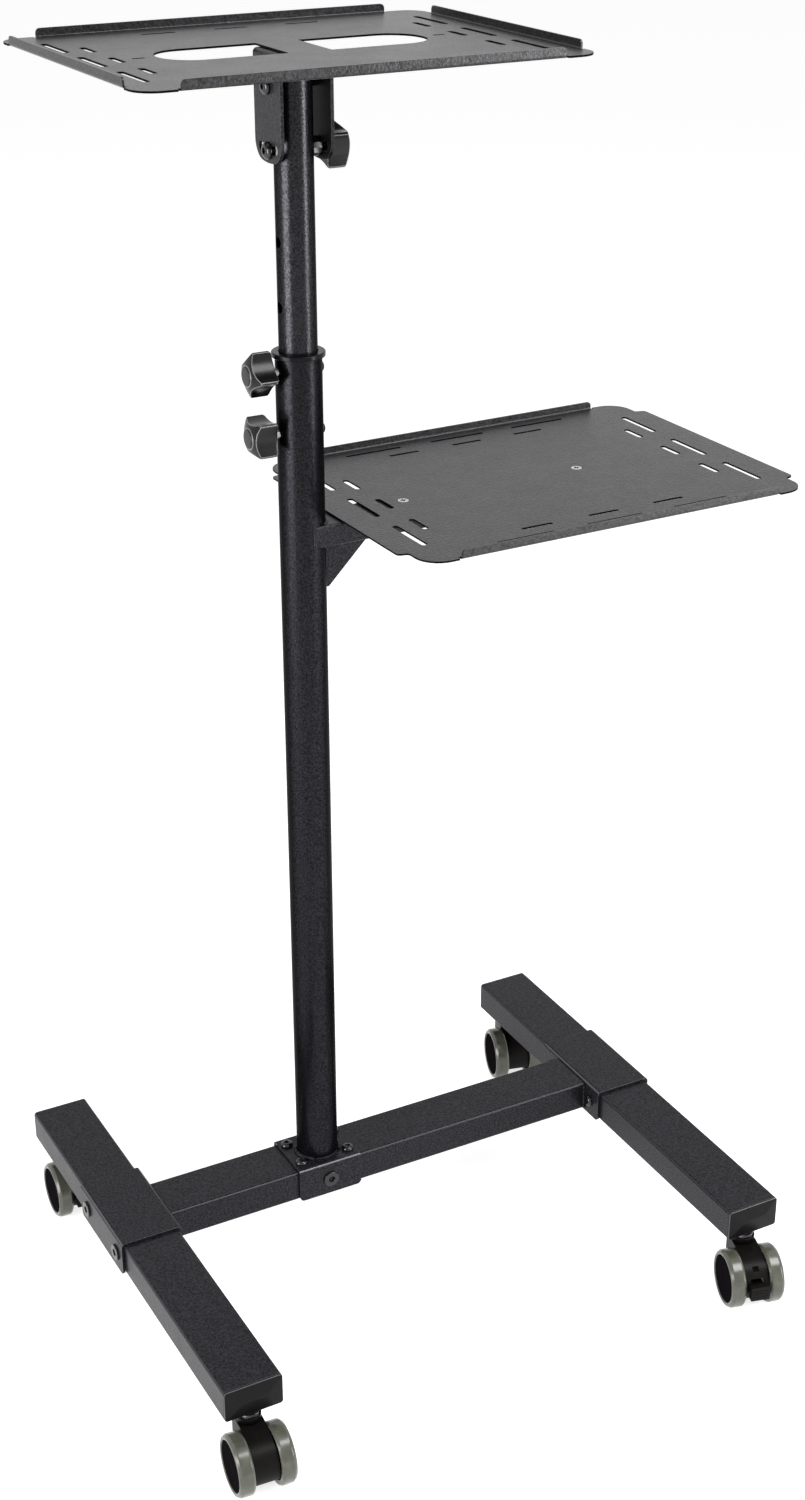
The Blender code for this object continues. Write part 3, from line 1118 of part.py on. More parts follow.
def make_caster(name, root, place, swing, braked, finishes):
    """Stem in the leg, then a hood, an axle and two wheels that swivel together."""
    plastic, dark_plastic, tyre, bright_steel = finishes
    swivel = empty(name + "_swivel", root, (*place, 0), swing)
    seat = BASE_HEIGHT - SEAT_GAP
    hex_bottom = NECK_TOP + SEAT_GAP
    hex_outline = hexagon_ring(STEM_HEX_RADIUS)
    collar_bottom = hex_bottom + STEM_HEX_HEIGHT
    count = len(hex_outline)
    sections = (
        (circle(STEM_PIN_RADIUS, count), STEM_PIN_BOTTOM), (circle(STEM_PIN_RADIUS, count), hex_bottom),
        (hex_outline, hex_bottom), (hex_outline, collar_bottom),
        (circle(STEM_COLLAR_RADIUS, count), collar_bottom), (circle(STEM_COLLAR_RADIUS, count), seat),
        (circle(STEM_THREAD_RADIUS, count), seat),
        (circle(STEM_THREAD_RADIUS, count), seat + STEM_THREAD_LENGTH),
    )
    rings = [[(u, v, height) for u, v in outline] for outline, height in sections]
    piece(name + "_caster_stem", skin(rings), bright_steel, root, (*place, 0), (0, 0, swing))

    make_hood(name, swivel, plastic, braked)
    axle_half = WHEEL_SPACE / 2 + WHEEL_BORE_DEPTH - SEAT_GAP
    axle_place = (0, -CASTER_TRAIL, WHEEL_RADIUS)
    piece(name + "_axle", rod(AXLE_RADIUS, -axle_half, axle_half, "YZ"), bright_steel, swivel,
          axle_place)
    for side, outward in (("left", -1), ("right", 1)):
        piece(name + "_wheel_" + side, wheel_body(outward), tyre, swivel,
              (outward * WHEEL_SPACE / 2, -CASTER_TRAIL, WHEEL_RADIUS))
    if braked:
        pedal = empty(name + "_pedal", swivel, (0, BRAKE_PIVOT_Y, BRAKE_PIVOT_HEIGHT))
        make_brake(name, pedal, dark_plastic)


def hexagon_ring(radius):
    """A hexagon with points along its sides, so that it joins to a circle."""
    per_side = 2
    corners = circle(radius, STEM_HEX_SIDES, turn=math.pi / STEM_HEX_SIDES)
    outline = []
    for index, (u, v) in enumerate(corners):
        next_u, next_v = corners[(index + 1) % STEM_HEX_SIDES]
        for step in range(per_side):
            share = step / per_side
            outline.append((u + (next_u - u) * share, v + (next_v - v) * share))
    return outline


def centre_on_floor(root):
    """Moves the stand so that the origin is at the middle of its box's underside."""
    bpy.context.view_layer.update()
    graph = bpy.context.evaluated_depsgraph_get()
    points = []
    for solid in bpy.data.objects:
        if solid.type != "MESH" or solid.hide_render:
            continue
        evaluated = solid.evaluated_get(graph)
        points += [evaluated.matrix_world @ vertex.co for vertex in evaluated.data.vertices]
    lowest = [min(point[axis] for point in points) for axis in range(3)]
    highest = [max(point[axis] for point in points) for axis in range(3)]
    root.location = (-(lowest[0] + highest[0]) / 2, -(lowest[1] + highest[1]) / 2, -lowest[2])
    bpy.context.view_layer.update()


def build_stand():
    clear_scene()
    coat = finish("black_powder_coat", (0.045, 0.045, 0.050), 0.45)
    plastic = finish("black_plastic", (0.020, 0.020, 0.021), 0.42)
    hood_plastic = finish("hood_plastic", (0.022, 0.020, 0.018), 0.60)
    tyre = finish("grey_tyre", (0.160, 0.165, 0.130), 0.28)
    black_steel = finish("black_screw_steel", (0.015, 0.015, 0.015), 0.20, 0.6)
    bright_steel = finish("bright_steel", (0.550, 0.550, 0.560), 0.25, 1.0)

    root = empty("stand")
    arm_frame = empty("arm_frame", root, turn=ARM_YAW)
    mast = empty("mast", root)
    head = empty("head", mast, (0, 0, PIVOT_HEIGHT))
    tilt_knob_frame = empty("tilt_knob_frame", mast, (0, 0, CLAMP_BOLT_HEIGHT))
    clamps = {
        "upper": empty("upper_clamp", root, (0, 0, UPPER_CLAMP_HEIGHT)),
        "lower": empty("lower_clamp", root, (0, 0, LOWER_CLAMP_HEIGHT)),
    }

    make_base(root, coat, plastic, black_steel)
    make_column(root, mast, coat, plastic)
    make_clamps(root, clamps, plastic, bright_steel)
    make_lower_tray(arm_frame, coat, black_steel)
    make_tilt_head(mast, head, tilt_knob_frame, coat, plastic, bright_steel)
    make_top_tray(head, coat)
    for name, leg_x, stem_y, swing, braked in CASTERS:
        make_caster(name, root, (leg_x, stem_y), swing, braked,
                    (hood_plastic, plastic, tyre, bright_steel))
    centre_on_floor(root)


build_stand()
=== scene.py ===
"""The rolling stand with two trays, dressed for its portrait.

Lengths are in metres. Pieces are worked out with the column's axis at X = Y = 0 and the floor
at Z = 0, as they are measured, and then moved to the column's place in the frame.
"""

import math

import bmesh
import bpy
import numpy as np
from mathutils import Matrix, Vector


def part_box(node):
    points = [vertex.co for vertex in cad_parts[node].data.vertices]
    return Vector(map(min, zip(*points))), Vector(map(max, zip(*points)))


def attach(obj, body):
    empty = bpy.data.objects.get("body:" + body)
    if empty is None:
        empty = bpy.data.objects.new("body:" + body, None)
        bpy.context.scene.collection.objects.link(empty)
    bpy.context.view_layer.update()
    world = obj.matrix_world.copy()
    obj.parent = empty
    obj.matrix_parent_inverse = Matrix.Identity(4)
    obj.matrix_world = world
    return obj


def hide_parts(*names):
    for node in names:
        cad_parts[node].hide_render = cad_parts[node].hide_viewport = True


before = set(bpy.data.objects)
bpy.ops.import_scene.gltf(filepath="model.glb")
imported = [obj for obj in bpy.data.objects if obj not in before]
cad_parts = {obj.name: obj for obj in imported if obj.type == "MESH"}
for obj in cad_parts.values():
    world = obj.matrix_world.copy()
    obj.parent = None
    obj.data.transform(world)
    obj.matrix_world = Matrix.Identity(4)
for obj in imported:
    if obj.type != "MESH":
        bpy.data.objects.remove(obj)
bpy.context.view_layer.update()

# The camera, found from the photograph's straight edges: where it stands from the column's
# axis, the way it looks, and its lens on a 36 mm sensor along the picture's long side.
POLE_FOOT = 0.0961
pole_low, pole_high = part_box("outer_pole")
column_place = np.array([(pole_low[0] + pole_high[0]) / 2, (pole_low[1] + pole_high[1]) / 2,
                         pole_low[2] - POLE_FOOT])
camera_place = Vector((-0.7175, -1.5156, 1.2866)) + Vector(column_place)
camera_yaw = math.radians(-28.017)
camera_dip = math.radians(25.359)
camera_roll = math.radians(-0.212)
look = Vector((-math.sin(camera_yaw) * math.cos(camera_dip),
               math.cos(camera_yaw) * math.cos(camera_dip), -math.sin(camera_dip)))
level_right = Vector((math.cos(camera_yaw), math.sin(camera_yaw), 0))
level_up = level_right.cross(look)
camera_right = level_right * math.cos(camera_roll) + level_up * math.sin(camera_roll)
camera_up = level_up * math.cos(camera_roll) - level_right * math.sin(camera_roll)
camera_data = bpy.data.cameras.new("camera")
camera_data.sensor_width = 36
camera_data.lens = 53.69
camera = bpy.data.objects.new("camera", camera_data)
bpy.context.collection.objects.link(camera)
turn = Matrix((camera_right, camera_up, -look)).transposed()
camera.matrix_world = Matrix.Translation(camera_place) @ turn.to_4x4()
bpy.context.scene.camera = camera
bpy.context.scene.view_settings.view_transform = "Standard"

# The studio: a pale floor that shows white and keeps the stand's shadow, a white surround, and
# soft lamps, the strongest of them to the left.
FLOOR_TONE, FLOOR_OWN_LIGHT, SKY_LIGHT, WHITE = 0.86, 0.74, 0.26, 1.0
floor_mesh = bpy.data.meshes.new("floor")
floor_reach = 12.0
floor_mesh.from_pydata([(-floor_reach, -floor_reach, 0), (floor_reach, -floor_reach, 0),
                        (floor_reach, floor_reach, 0), (-floor_reach, floor_reach, 0)], [],
                       [(0, 1, 2, 3)])
floor = bpy.data.objects.new("floor", floor_mesh)
bpy.context.collection.objects.link(floor)


def seen_directly(nodes):
    """One where a camera, glossy or transmission ray meets the surface, zero elsewhere."""
    path = nodes.new("ShaderNodeLightPath")
    total = path.outputs["Is Camera Ray"]
    for kind in ("Is Glossy Ray", "Is Transmission Ray"):
        either = nodes.new("ShaderNodeMath")
        either.operation = "MAXIMUM"
        nodes.id_data.links.new(total, either.inputs[0])
        nodes.id_data.links.new(path.outputs[kind], either.inputs[1])
        total = either.outputs[0]
    return total


def white_floor():
    """A pale floor: its own light brings it to white, and shadows on it stay."""
    made = bpy.data.materials.new("pale_floor")
    made.use_nodes = True
    nodes = made.node_tree.nodes
    shader = nodes["Principled BSDF"]
    shader.inputs["Base Color"].default_value = (FLOOR_TONE, FLOOR_TONE, FLOOR_TONE, 1)
    shader.inputs["Roughness"].default_value = 0.9
    shader.inputs["Specular IOR Level"].default_value = 0.0
    shader.inputs["Emission Color"].default_value = (1, 1, 1, 1)
    strength = nodes.new("ShaderNodeMath")
    strength.operation = "MULTIPLY"
    strength.inputs[1].default_value = FLOOR_OWN_LIGHT
    made.node_tree.links.new(seen_directly(nodes), strength.inputs[0])
    made.node_tree.links.new(strength.outputs[0], shader.inputs["Emission Strength"])
    return made


floor_mesh.materials.append(white_floor())

world = bpy.data.worlds.new("studio")
world.use_nodes = True
bpy.context.scene.world = world
sky_nodes = world.node_tree.nodes
sky_light = sky_nodes["Background"]
sky_light.inputs["Color"].default_value = (1, 1, 1, 1)
sky_light.inputs["Strength"].default_value = SKY_LIGHT
sky_seen = sky_nodes.new("ShaderNodeBackground")
sky_seen.inputs["Color"].default_value = (1, 1, 1, 1)
sky_seen.inputs["Strength"].default_value = WHITE
sky_mix = sky_nodes.new("ShaderNodeMixShader")
world.node_tree.links.new(seen_directly(sky_nodes), sky_mix.inputs["Fac"])
world.node_tree.links.new(sky_light.outputs[0], sky_mix.inputs[1])
world.node_tree.links.new(sky_seen.outputs[0], sky_mix.inputs[2])
world.node_tree.links.new(sky_mix.outputs[0], sky_nodes["World Output"].inputs["Surface"])


def soft_lamp(name, place, aim, width, height, power):
    """A rectangular lamp of a width and height in metres and a power in watts, facing the
    aimed point."""
    data = bpy.data.lights.new(name, "AREA")
    data.shape = "RECTANGLE"
    data.size, data.size_y, data.energy = width, height, power
    lamp = bpy.data.objects.new(name, data)
    bpy.context.collection.objects.link(lamp)
    lamp.location = place
    lamp.rotation_euler = (Vector(aim) - Vector(place)).to_track_quat("-Z", "Y").to_euler()


soft_lamp("left_box", (-2.4, -0.35, 0.75), (0, 0, 0.7), 1.40, 1.4, 60)
soft_lamp("right_box", (1.62, -1.9, 0.80), (0, 0, 0.8), 0.66, 1.3, 40)
soft_lamp("top_box", (0.8, -1.0, 2.4), (0, 0, 0.3), 1.3, 0.8, 36)


# Legs: two rectangular steel tubes under satin black powder coat, sawn square, each lying front to back.
# The coat has a fine orange-peel grain, and a paler coat on the corners paints a highlight along them.
BASE_HEIGHT, TUBE_HEIGHT, TUBE_CORNER = 0.0647, 0.0285, 0.0027
LEG_WIDTH, LEG_FRONT, LEG_BACK = 0.0505, -0.2571, 0.1786
LEG_PLACES = {"left": -0.1808, "right": 0.2978}
CAP_DEPTH, TUBE_EDGE = 0.0034, 0.0004
TUBE_MIDDLE = BASE_HEIGHT + TUBE_HEIGHT / 2


def new_finish(name):
    """A material with its nodes, its shader's sockets and the piece's own coordinates."""
    made = bpy.data.materials.new(name)
    made.use_nodes = True
    nodes = made.node_tree.nodes
    place = nodes.new("ShaderNodeTexCoord").outputs["Object"]
    return made, nodes, nodes["Principled BSDF"].inputs, place


def cloud(nodes, place, scale, detail, share=0.5):
    """Noise with about so many lumps to the metre. Each finer layer of it has a share of the
    strength of the layer before."""
    texture = nodes.new("ShaderNodeTexNoise")
    texture.inputs["Scale"].default_value = scale
    texture.inputs["Detail"].default_value = detail
    texture.inputs["Roughness"].default_value = share
    nodes.id_data.links.new(place, texture.inputs["Vector"])
    return texture.outputs["Fac"]


def tint(nodes, amount, colour, dark, pale, sockets):
    """The colour times a shade that follows the noise. Dark and pale each give an amount of
    noise and the shade there, and between the two amounts the shade is blended."""
    tone = nodes.new("ShaderNodeValToRGB")
    for stop, (position, shade) in zip(tone.color_ramp.elements, (dark, pale)):
        stop.position = position
        stop.color = (*[shade * part for part in colour], 1)
    nodes.id_data.links.new(amount, tone.inputs["Fac"])
    nodes.id_data.links.new(tone.outputs["Color"], sockets["Base Color"])


def drift(nodes, amount, smooth, rough, sockets):
    """A roughness that drifts with the noise, from smooth to rough."""
    spread = nodes.new("ShaderNodeMapRange")
    spread.inputs["To Min"].default_value = smooth
    spread.inputs["To Max"].default_value = rough
    nodes.id_data.links.new(amount, spread.inputs["Value"])
    nodes.id_data.links.new(spread.outputs["Result"], sockets["Roughness"])


def dimple(nodes, amount, strength, depth, sockets):
    """A bump as deep as the noise times a depth in metres."""
    bump = nodes.new("ShaderNodeBump")
    bump.inputs["Strength"].default_value = strength
    bump.inputs["Distance"].default_value = depth
    nodes.id_data.links.new(amount, bump.inputs["Height"])
    nodes.id_data.links.new(bump.outputs["Normal"], sockets["Normal"])


def powder_coat(name, colour, roughness, gloss, grain, grains_per_metre, flake, rim,
                peel_depth=0.00018):
    """Black powder coat: grains of paler and darker colour, an orange-peel bump of about the
    same size, peel_depth deep, and a slow drift of gloss over the piece. Flake is the metal's
    share of the pigment, and rim is how much gloss is left where it is seen along the surface."""
    made, nodes, sockets, place = new_finish(name)
    sockets["Specular IOR Level"].default_value = gloss
    sockets["Metallic"].default_value = flake
    sockets["Specular Tint"].default_value = (rim, rim, rim, 1)
    speckle = cloud(nodes, place, grains_per_metre, 2, 0.6)
    tint(nodes, speckle, colour, (0.36, 1 - 0.75 * grain), (0.66, 1 + 1.30 * grain), sockets)
    drift(nodes, cloud(nodes, place, 45, 3), roughness - 0.05, roughness + 0.05, sockets)
    dimple(nodes, cloud(nodes, place, 640, 2), grain, peel_depth, sockets)
    return made


def eased(corners, steps=6, closed=True):
    """Outline through corners (u, v, radius): each corner gives way to an arc that touches
    both of its sides, found by turning one touching radius into the other."""
    table = np.array(corners, float)
    points, radius = table[:, :2], np.maximum(table[:, 2:], 1e-6)
    back = np.roll(points, 1, axis=0) - points
    ahead = np.roll(points, -1, axis=0) - points
    back /= np.linalg.norm(back, axis=1, keepdims=True)
    ahead /= np.linalg.norm(ahead, axis=1, keepdims=True)
    cosine = np.clip((back * ahead).sum(axis=1, keepdims=True), -0.9999999, 0.9999999)
    half = np.arccos(cosine) / 2
    middle = back + ahead
    middle /= np.linalg.norm(middle, axis=1, keepdims=True)
    centre = points + middle * radius / np.sin(half)
    first = points + back * radius / np.tan(half) - centre
    last = points + ahead * radius / np.tan(half) - centre
    sweep = (math.pi - 2 * half)[:, None, :]
    share = np.linspace(0, 1, steps + 1)[None, :, None]
    arc = first[:, None] * np.sin((1 - share) * sweep) + last[:, None] * np.sin(share * sweep)
    arc = centre[:, None] + arc / np.sin(sweep)
    if closed:
        return arc.reshape(-1, 2)
    return np.vstack([points[:1], arc[1:-1].reshape(-1, 2), points[-1:]])


def carried(rings, wrap=False):
    """Faces over rings of points, shape (rings, count, 3): each ring joins to the next by
    quads, and the ends close with a face each, or the last ring joins back to the first."""
    number, count = rings.shape[:2]
    index = np.arange(number * count).reshape(number, count)
    rows = np.vstack([index, index[:1]]) if wrap else index
    cols = np.hstack([rows, rows[:, :1]])
    quads = np.stack([cols[:-1, :-1], cols[:-1, 1:], cols[1:, 1:], cols[1:, :-1]], axis=-1)
    faces = quads.reshape(-1, 4).tolist()
    if not wrap:
        faces += [index[0][::-1].tolist(), index[-1].tolist()]
    return rings.reshape(-1, 3), faces


def solid_mesh(name, points, faces):
    """A mesh at the column's place with its faces pointing out."""
    mesh = bpy.data.meshes.new(name)
    mesh.from_pydata((points + column_place).tolist(), [], faces)
    body = bmesh.new()
    body.from_mesh(mesh)
    bmesh.ops.remove_doubles(body, verts=body.verts, dist=1e-7)
    bmesh.ops.recalc_face_normals(body, faces=body.faces)
    body.to_mesh(mesh)
    body.free()
    mesh.shade_smooth()
    return mesh


def add_piece(mesh, surface, body, slot, *nodes, edge=0.0, highlight_surface=None):
    """A piece that rides on a body and stands for CAD nodes. Its sharp edges are softened by the given
    width; where a second finish is given, the softened edges take it, a paler coat that paints a highlight
    along them. Its flats keep their own shading."""
    mesh.materials.append(surface)
    piece = bpy.data.objects.new(mesh.name, mesh)
    bpy.context.collection.objects.link(piece)
    if edge:
        soften = piece.modifiers.new("soft_edges", "BEVEL")
        soften.width = edge
        soften.segments = 3
        soften.limit_method = "ANGLE"
        soften.angle_limit = math.radians(35)
        if highlight_surface:
            mesh.materials.append(highlight_surface)
            soften.material = 1
    flats = piece.modifiers.new("flats", "WEIGHTED_NORMAL")
    flats.keep_sharp = True
    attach(piece, body)
    if nodes:
        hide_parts(*nodes)
    return piece


def box_outline(width, height, corner, centre=(0, 0)):
    """A rectangle with rounded corners."""
    u, v = width / 2, height / 2
    outline = eased([(u, -v, corner), (u, v, corner), (-u, v, corner), (-u, -v, corner)])
    return outline + np.array(centre)


def box_bar(name, outline, start, end, along):
    """An outline carried straight along X or Y between two places."""
    rings = []
    for place in (start, end):
        fixed = np.full(len(outline), place)
        if along == "Y":
            rings.append(np.stack([outline[:, 0], fixed, outline[:, 1]], axis=1))
        else:
            rings.append(np.stack([fixed, outline[:, 0], outline[:, 1]], axis=1))
    return solid_mesh(name, *carried(np.array(rings)))


def painted_corner_highlights(mesh):
    """Where a tube's corner or a sheet's bend turns down from the top, the middle strips of the turn, whose
    faces look partly upward, take the piece's second finish: a paler coat that paints a highlight along the
    corner."""
    for face in mesh.polygons:
        if 0.55 < face.normal[2] < 0.85:
            face.material_index = 1


black_coat = powder_coat("black_coat", (0.0138, 0.0133, 0.0164), 0.30, 0.35, 1.00, 640, 0.25, 0.30)
# A paler coat on the corners of the legs and the cross tube, for a painted highlight along them.
corner_highlight_coat = powder_coat("corner_highlight_coat", (0.0300, 0.0293, 0.0330), 0.30, 0.42, 0.20, 760, 0.30, 0.50)
# A paler coat for softened edges and bends: it paints a highlight along them.
edge_highlight_coat = powder_coat("edge_highlight_coat", (0.080, 0.079, 0.084), 0.30, 0.50, 0.20, 760, 0.40, 0.80)
for side, leg_x in LEG_PLACES.items():
    leg_outline = box_outline(LEG_WIDTH, TUBE_HEIGHT, TUBE_CORNER, (leg_x, TUBE_MIDDLE))
    leg = box_bar(side + "_leg", leg_outline, LEG_FRONT + CAP_DEPTH, LEG_BACK - CAP_DEPTH, "Y")
    add_piece(leg, black_coat, "base", "powder_coat", side + "_leg_tube", edge=TUBE_EDGE,
              highlight_surface=corner_highlight_coat)
    painted_corner_highlights(leg)


# End caps: moulded plastic plugs with a thin rim and four flat facets that rise to a short
# ridge, pushed into the ends of the legs.
CAP_RIM, CAP_RISE, CAP_PLUG, CAP_EASE = 0.0015, 0.0016, 0.005, 0.0003
PLUG_TRIM, RIDGE_TRIM = 0.0037, 0.0255


def moulded(name, colour, roughness, grains_per_metre, grain, gloss):
    """Moulded plastic: a spark-eroded grain in the bump, and a faint cloud, four times as
    coarse, in the colour and in the roughness."""
    made, nodes, sockets, place = new_finish(name)
    sockets["Specular IOR Level"].default_value = gloss
    mottle = cloud(nodes, place, grains_per_metre / 4, 4)
    tint(nodes, mottle, colour, (0.3, 0.8), (0.7, 1.2), sockets)
    drift(nodes, mottle, roughness - 0.04, roughness + 0.06, sockets)
    dimple(nodes, cloud(nodes, place, grains_per_metre, 2), grain, 0.0001, sockets)
    return made


cap_plastic = moulded("cap_plastic", (0.0040, 0.0039, 0.0046), 0.30, 900, 0.35, 0.11)
# A paler plastic for the caps' softened edges: a painted highlight along them.
cap_highlight = moulded("cap_highlight", (0.060, 0.059, 0.064), 0.30, 900, 0.10, 0.50)
for side, leg_x in LEG_PLACES.items():
    for end, face, outward in (("front", LEG_FRONT, -1), ("back", LEG_BACK, 1)):
        seat = face - outward * (CAP_RIM + CAP_RISE)
        cap_rings = []
        for trim, rise in ((PLUG_TRIM, -CAP_PLUG), (PLUG_TRIM, 0), (0, 0), (0, CAP_RIM - CAP_EASE),
                           (2 * CAP_EASE, CAP_RIM), (RIDGE_TRIM, CAP_RIM + CAP_RISE)):
            ring = box_outline(LEG_WIDTH - trim, TUBE_HEIGHT - trim,
                               max(TUBE_CORNER - trim / 2, CAP_EASE), (leg_x, TUBE_MIDDLE))
            depth = np.full(len(ring), seat + outward * rise)
            cap_rings.append(np.stack([ring[:, 0], depth, ring[:, 1]], axis=1))
        name = f"{side}_{end}_end_cap"
        cap = solid_mesh(name, *carried(np.array(cap_rings)))
        add_piece(cap, cap_plastic, "base", "black_plastic", f"{side}_leg_{end}_cap",
                  edge=CAP_EASE, highlight_surface=cap_highlight)


# Cross tube: the same kind of rectangular steel tube under the same coat, sawn square and
# butted between the two leg brackets, where it is welded.
CROSS_WIDTH, BRACKET_SHEET, SEAT_GAP = 0.0500, 0.0023, 0.0003
LEG_BRACKET_HALF = LEG_WIDTH / 2 + SEAT_GAP + BRACKET_SHEET
cross_outline = box_outline(CROSS_WIDTH, TUBE_HEIGHT, TUBE_CORNER, (0, TUBE_MIDDLE))
cross = box_bar("cross_bar", cross_outline, LEG_PLACES["left"] + LEG_BRACKET_HALF + SEAT_GAP,
                LEG_PLACES["right"] - LEG_BRACKET_HALF - SEAT_GAP, "X")
add_piece(cross, black_coat, "base", "powder_coat", "cross_tube", edge=TUBE_EDGE,
          highlight_surface=corner_highlight_coat)
painted_corner_highlights(cross)


# Brackets: 2.3 mm steel sheet folded down over the tubes, with rounded lower corners: one over
# each leg, and the saddle that straddles the cross tube under the column.
BRACKET_TOP = BASE_HEIGHT + TUBE_HEIGHT + SEAT_GAP + BRACKET_SHEET
BRACKET_DROP, BRACKET_BEND, BRACKET_CORNER, BRACKET_EDGE = 0.0010, 0.0036, 0.0042, 0.0005
BRACKET_FOOT = BASE_HEIGHT - BRACKET_DROP
SADDLE_HALF = CROSS_WIDTH / 2 + SEAT_GAP + BRACKET_SHEET
CLASP_HALF_LENGTH, SADDLE_HALF_LENGTH = 0.0484, 0.0304


def folded_sheet(name, half_width, top, foot, sheet, bend, half_length, corner, bow, along,
                 centre=0.0):
    """Sheet folded down at both sides. One parameter runs across the blank, from one flange's
    free edge over the web to the other's; the other runs along the bracket. A flange's free
    edge rises by the corner's arc near its ends, and by a shallow bow where one is given.
    Outer and inner faces are the same surface, one sheet apart along its normal."""
    share = np.linspace(-1, 1, 41)
    spread = half_length * np.sin(share * math.pi / 2)
    inset = np.clip(corner - (half_length - np.abs(spread)), 0, corner)
    lift = corner - np.sqrt(corner ** 2 - inset ** 2)
    if bow:
        lift = lift + bow - np.sqrt(bow ** 2 - spread ** 2)
    turn_angle = np.linspace(0, math.pi / 2, 9)
    rise = np.linspace(0, 1, 6)[:-1]

    def face(depth):
        """The bent surface at one depth under the sheet's outer face."""
        side = half_width - depth
        radius = bend - depth
        arc_u = half_width - bend + radius * np.cos(turn_angle)
        arc_v = top - bend + radius * np.sin(turn_angle)
        flange_v = foot + lift[None] + rise[:, None] * (top - bend - foot - lift[None])
        flange_u = np.full(flange_v.shape, side)
        arc_u = np.repeat(arc_u[:, None], len(spread), axis=1)
        arc_v = np.repeat(arc_v[:, None], len(spread), axis=1)
        half_u, half_v = np.vstack([flange_u, arc_u]), np.vstack([flange_v, arc_v])
        across = np.vstack([half_u, -half_u[::-1]]) + centre
        up = np.vstack([half_v, half_v[::-1]])
        run = np.repeat(spread[None], len(across), axis=0)
        order = (across, run, up) if along == "Y" else (run, across, up)
        return np.stack(order, axis=-1)

    return solid_mesh(name, *slab(face(0.0), face(sheet)))


def slab(outer, inner):
    """Two grids of equal shape, joined round their four sides into one closed sheet."""
    rows, cols = outer.shape[:2]
    index = np.arange(rows * cols).reshape(rows, cols)

    def quads(grid):
        """Four neighbours of a grid make each face."""
        return np.stack([grid[:-1, :-1], grid[:-1, 1:], grid[1:, 1:], grid[1:, :-1]], axis=-1)

    far = index + rows * cols
    rim = np.concatenate([index[0], index[1:, -1], index[-1, -2::-1], index[-2:0:-1, 0]])
    ring = np.append(rim, rim[0])
    strip = np.stack([ring[:-1], ring[1:], ring[1:] + rows * cols, ring[:-1] + rows * cols], axis=-1)
    faces = np.concatenate([quads(index).reshape(-1, 4), quads(far).reshape(-1, 4)[:, ::-1], strip])
    return np.concatenate([outer.reshape(-1, 3), inner.reshape(-1, 3)]), faces.tolist()


for side, leg_x in LEG_PLACES.items():
    clasp = folded_sheet(side + "_leg_clasp", LEG_BRACKET_HALF, BRACKET_TOP, BRACKET_FOOT,
                         BRACKET_SHEET, BRACKET_BEND, CLASP_HALF_LENGTH, BRACKET_CORNER, 0.0,
                         "Y", leg_x)
    add_piece(clasp, black_coat, "base", "powder_coat", side + "_leg_bracket", edge=BRACKET_EDGE,
              highlight_surface=edge_highlight_coat)
    painted_corner_highlights(clasp)
saddle = folded_sheet("column_saddle", SADDLE_HALF, BRACKET_TOP, BRACKET_FOOT, BRACKET_SHEET,
                      BRACKET_BEND, SADDLE_HALF_LENGTH, BRACKET_CORNER, 0.0, "X")
add_piece(saddle, black_coat, "base", "powder_coat", "saddle_bracket", edge=BRACKET_EDGE,
          highlight_surface=edge_highlight_coat)
painted_corner_highlights(saddle)


# Screws of the base: glossy blackened steel. Four button heads hold the saddle, and each
# flange pair is pinned by a button screw in a flat-headed sleeve nut with a hexagon socket.
HEX_SIDES, SCREW_EDGE = 6, 0.00012
SHANK, BUTTON_HEAD, BUTTON_RISE, BUTTON_SOCKET, BUTTON_SOCKET_DEPTH = 0.0030, 0.0054, 0.0034, 0.0020, 0.0014
BUTTON_SOCKET_FROM = 12
SADDLE_SCREW_LENGTH, SADDLE_SCREW_OUT, SADDLE_SCREW_FORE = 0.0100, 0.0231, 0.0152
LEG_BOLT_FORE, NUT_HEAD, NUT_RISE, NUT_SOCKET = 0.034, 0.00715, 0.0016, 0.0033


def metal(name, colour, roughness, wear_scale, metallic=1.0):
    """Plated or blackened metal: a fine cloud that drifts its gloss and darkens its low spots.
    Metallic is how much of the colour shines as bare metal does."""
    made, nodes, sockets, place = new_finish(name)
    sockets["Metallic"].default_value = metallic
    wear = cloud(nodes, place, wear_scale, 5)
    tint(nodes, wear, colour, (0.3, 0.85), (0.7, 1.0), sockets)
    drift(nodes, wear, roughness * 0.7, roughness * 1.4, sockets)
    return made


def hexagon(angle):
    """A hexagon's reach at each angle where its flats are one away: one over the cosine of the
    angle from the nearest flat's middle."""
    wedge = math.pi / HEX_SIDES
    return 1 / np.cos((angle % (2 * wedge)) - wedge)


def full_turn(sides):
    """Equal angles once round, the first not repeated."""
    return np.linspace(0, 2 * math.pi, sides, endpoint=False)


def rings_round(radius, height, angle, axis="+Z", place=(0, 0, 0)):
    """Points round an axis through a place: a row for each radius and height, a column for
    each angle, at radius times its cosine and sine across the axis and height along it."""
    across, up = radius * np.cos(angle), radius * np.sin(angle)
    along = np.broadcast_to(height, across.shape)
    order = {"+X": (along, across, up), "-X": (-along, -across, up),
             "-Y": (across, -along, up), "+Z": (across, up, along)}[axis]
    return np.stack(order, axis=-1) + np.array(place)


def spun(name, profile, axis, place, sides, hexed_from=None):
    """A profile (radius, height) turned about an axis through a place. Rows from hexed_from on
    take a hexagon's outline, as the socket's do."""
    angle = full_turn(sides)
    radius = np.repeat(profile[:, :1], sides, axis=1)
    if hexed_from:
        radius[hexed_from:] *= hexagon(angle)
    return solid_mesh(name, *carried(rings_round(radius, profile[:, 1:2], angle, axis, place)))


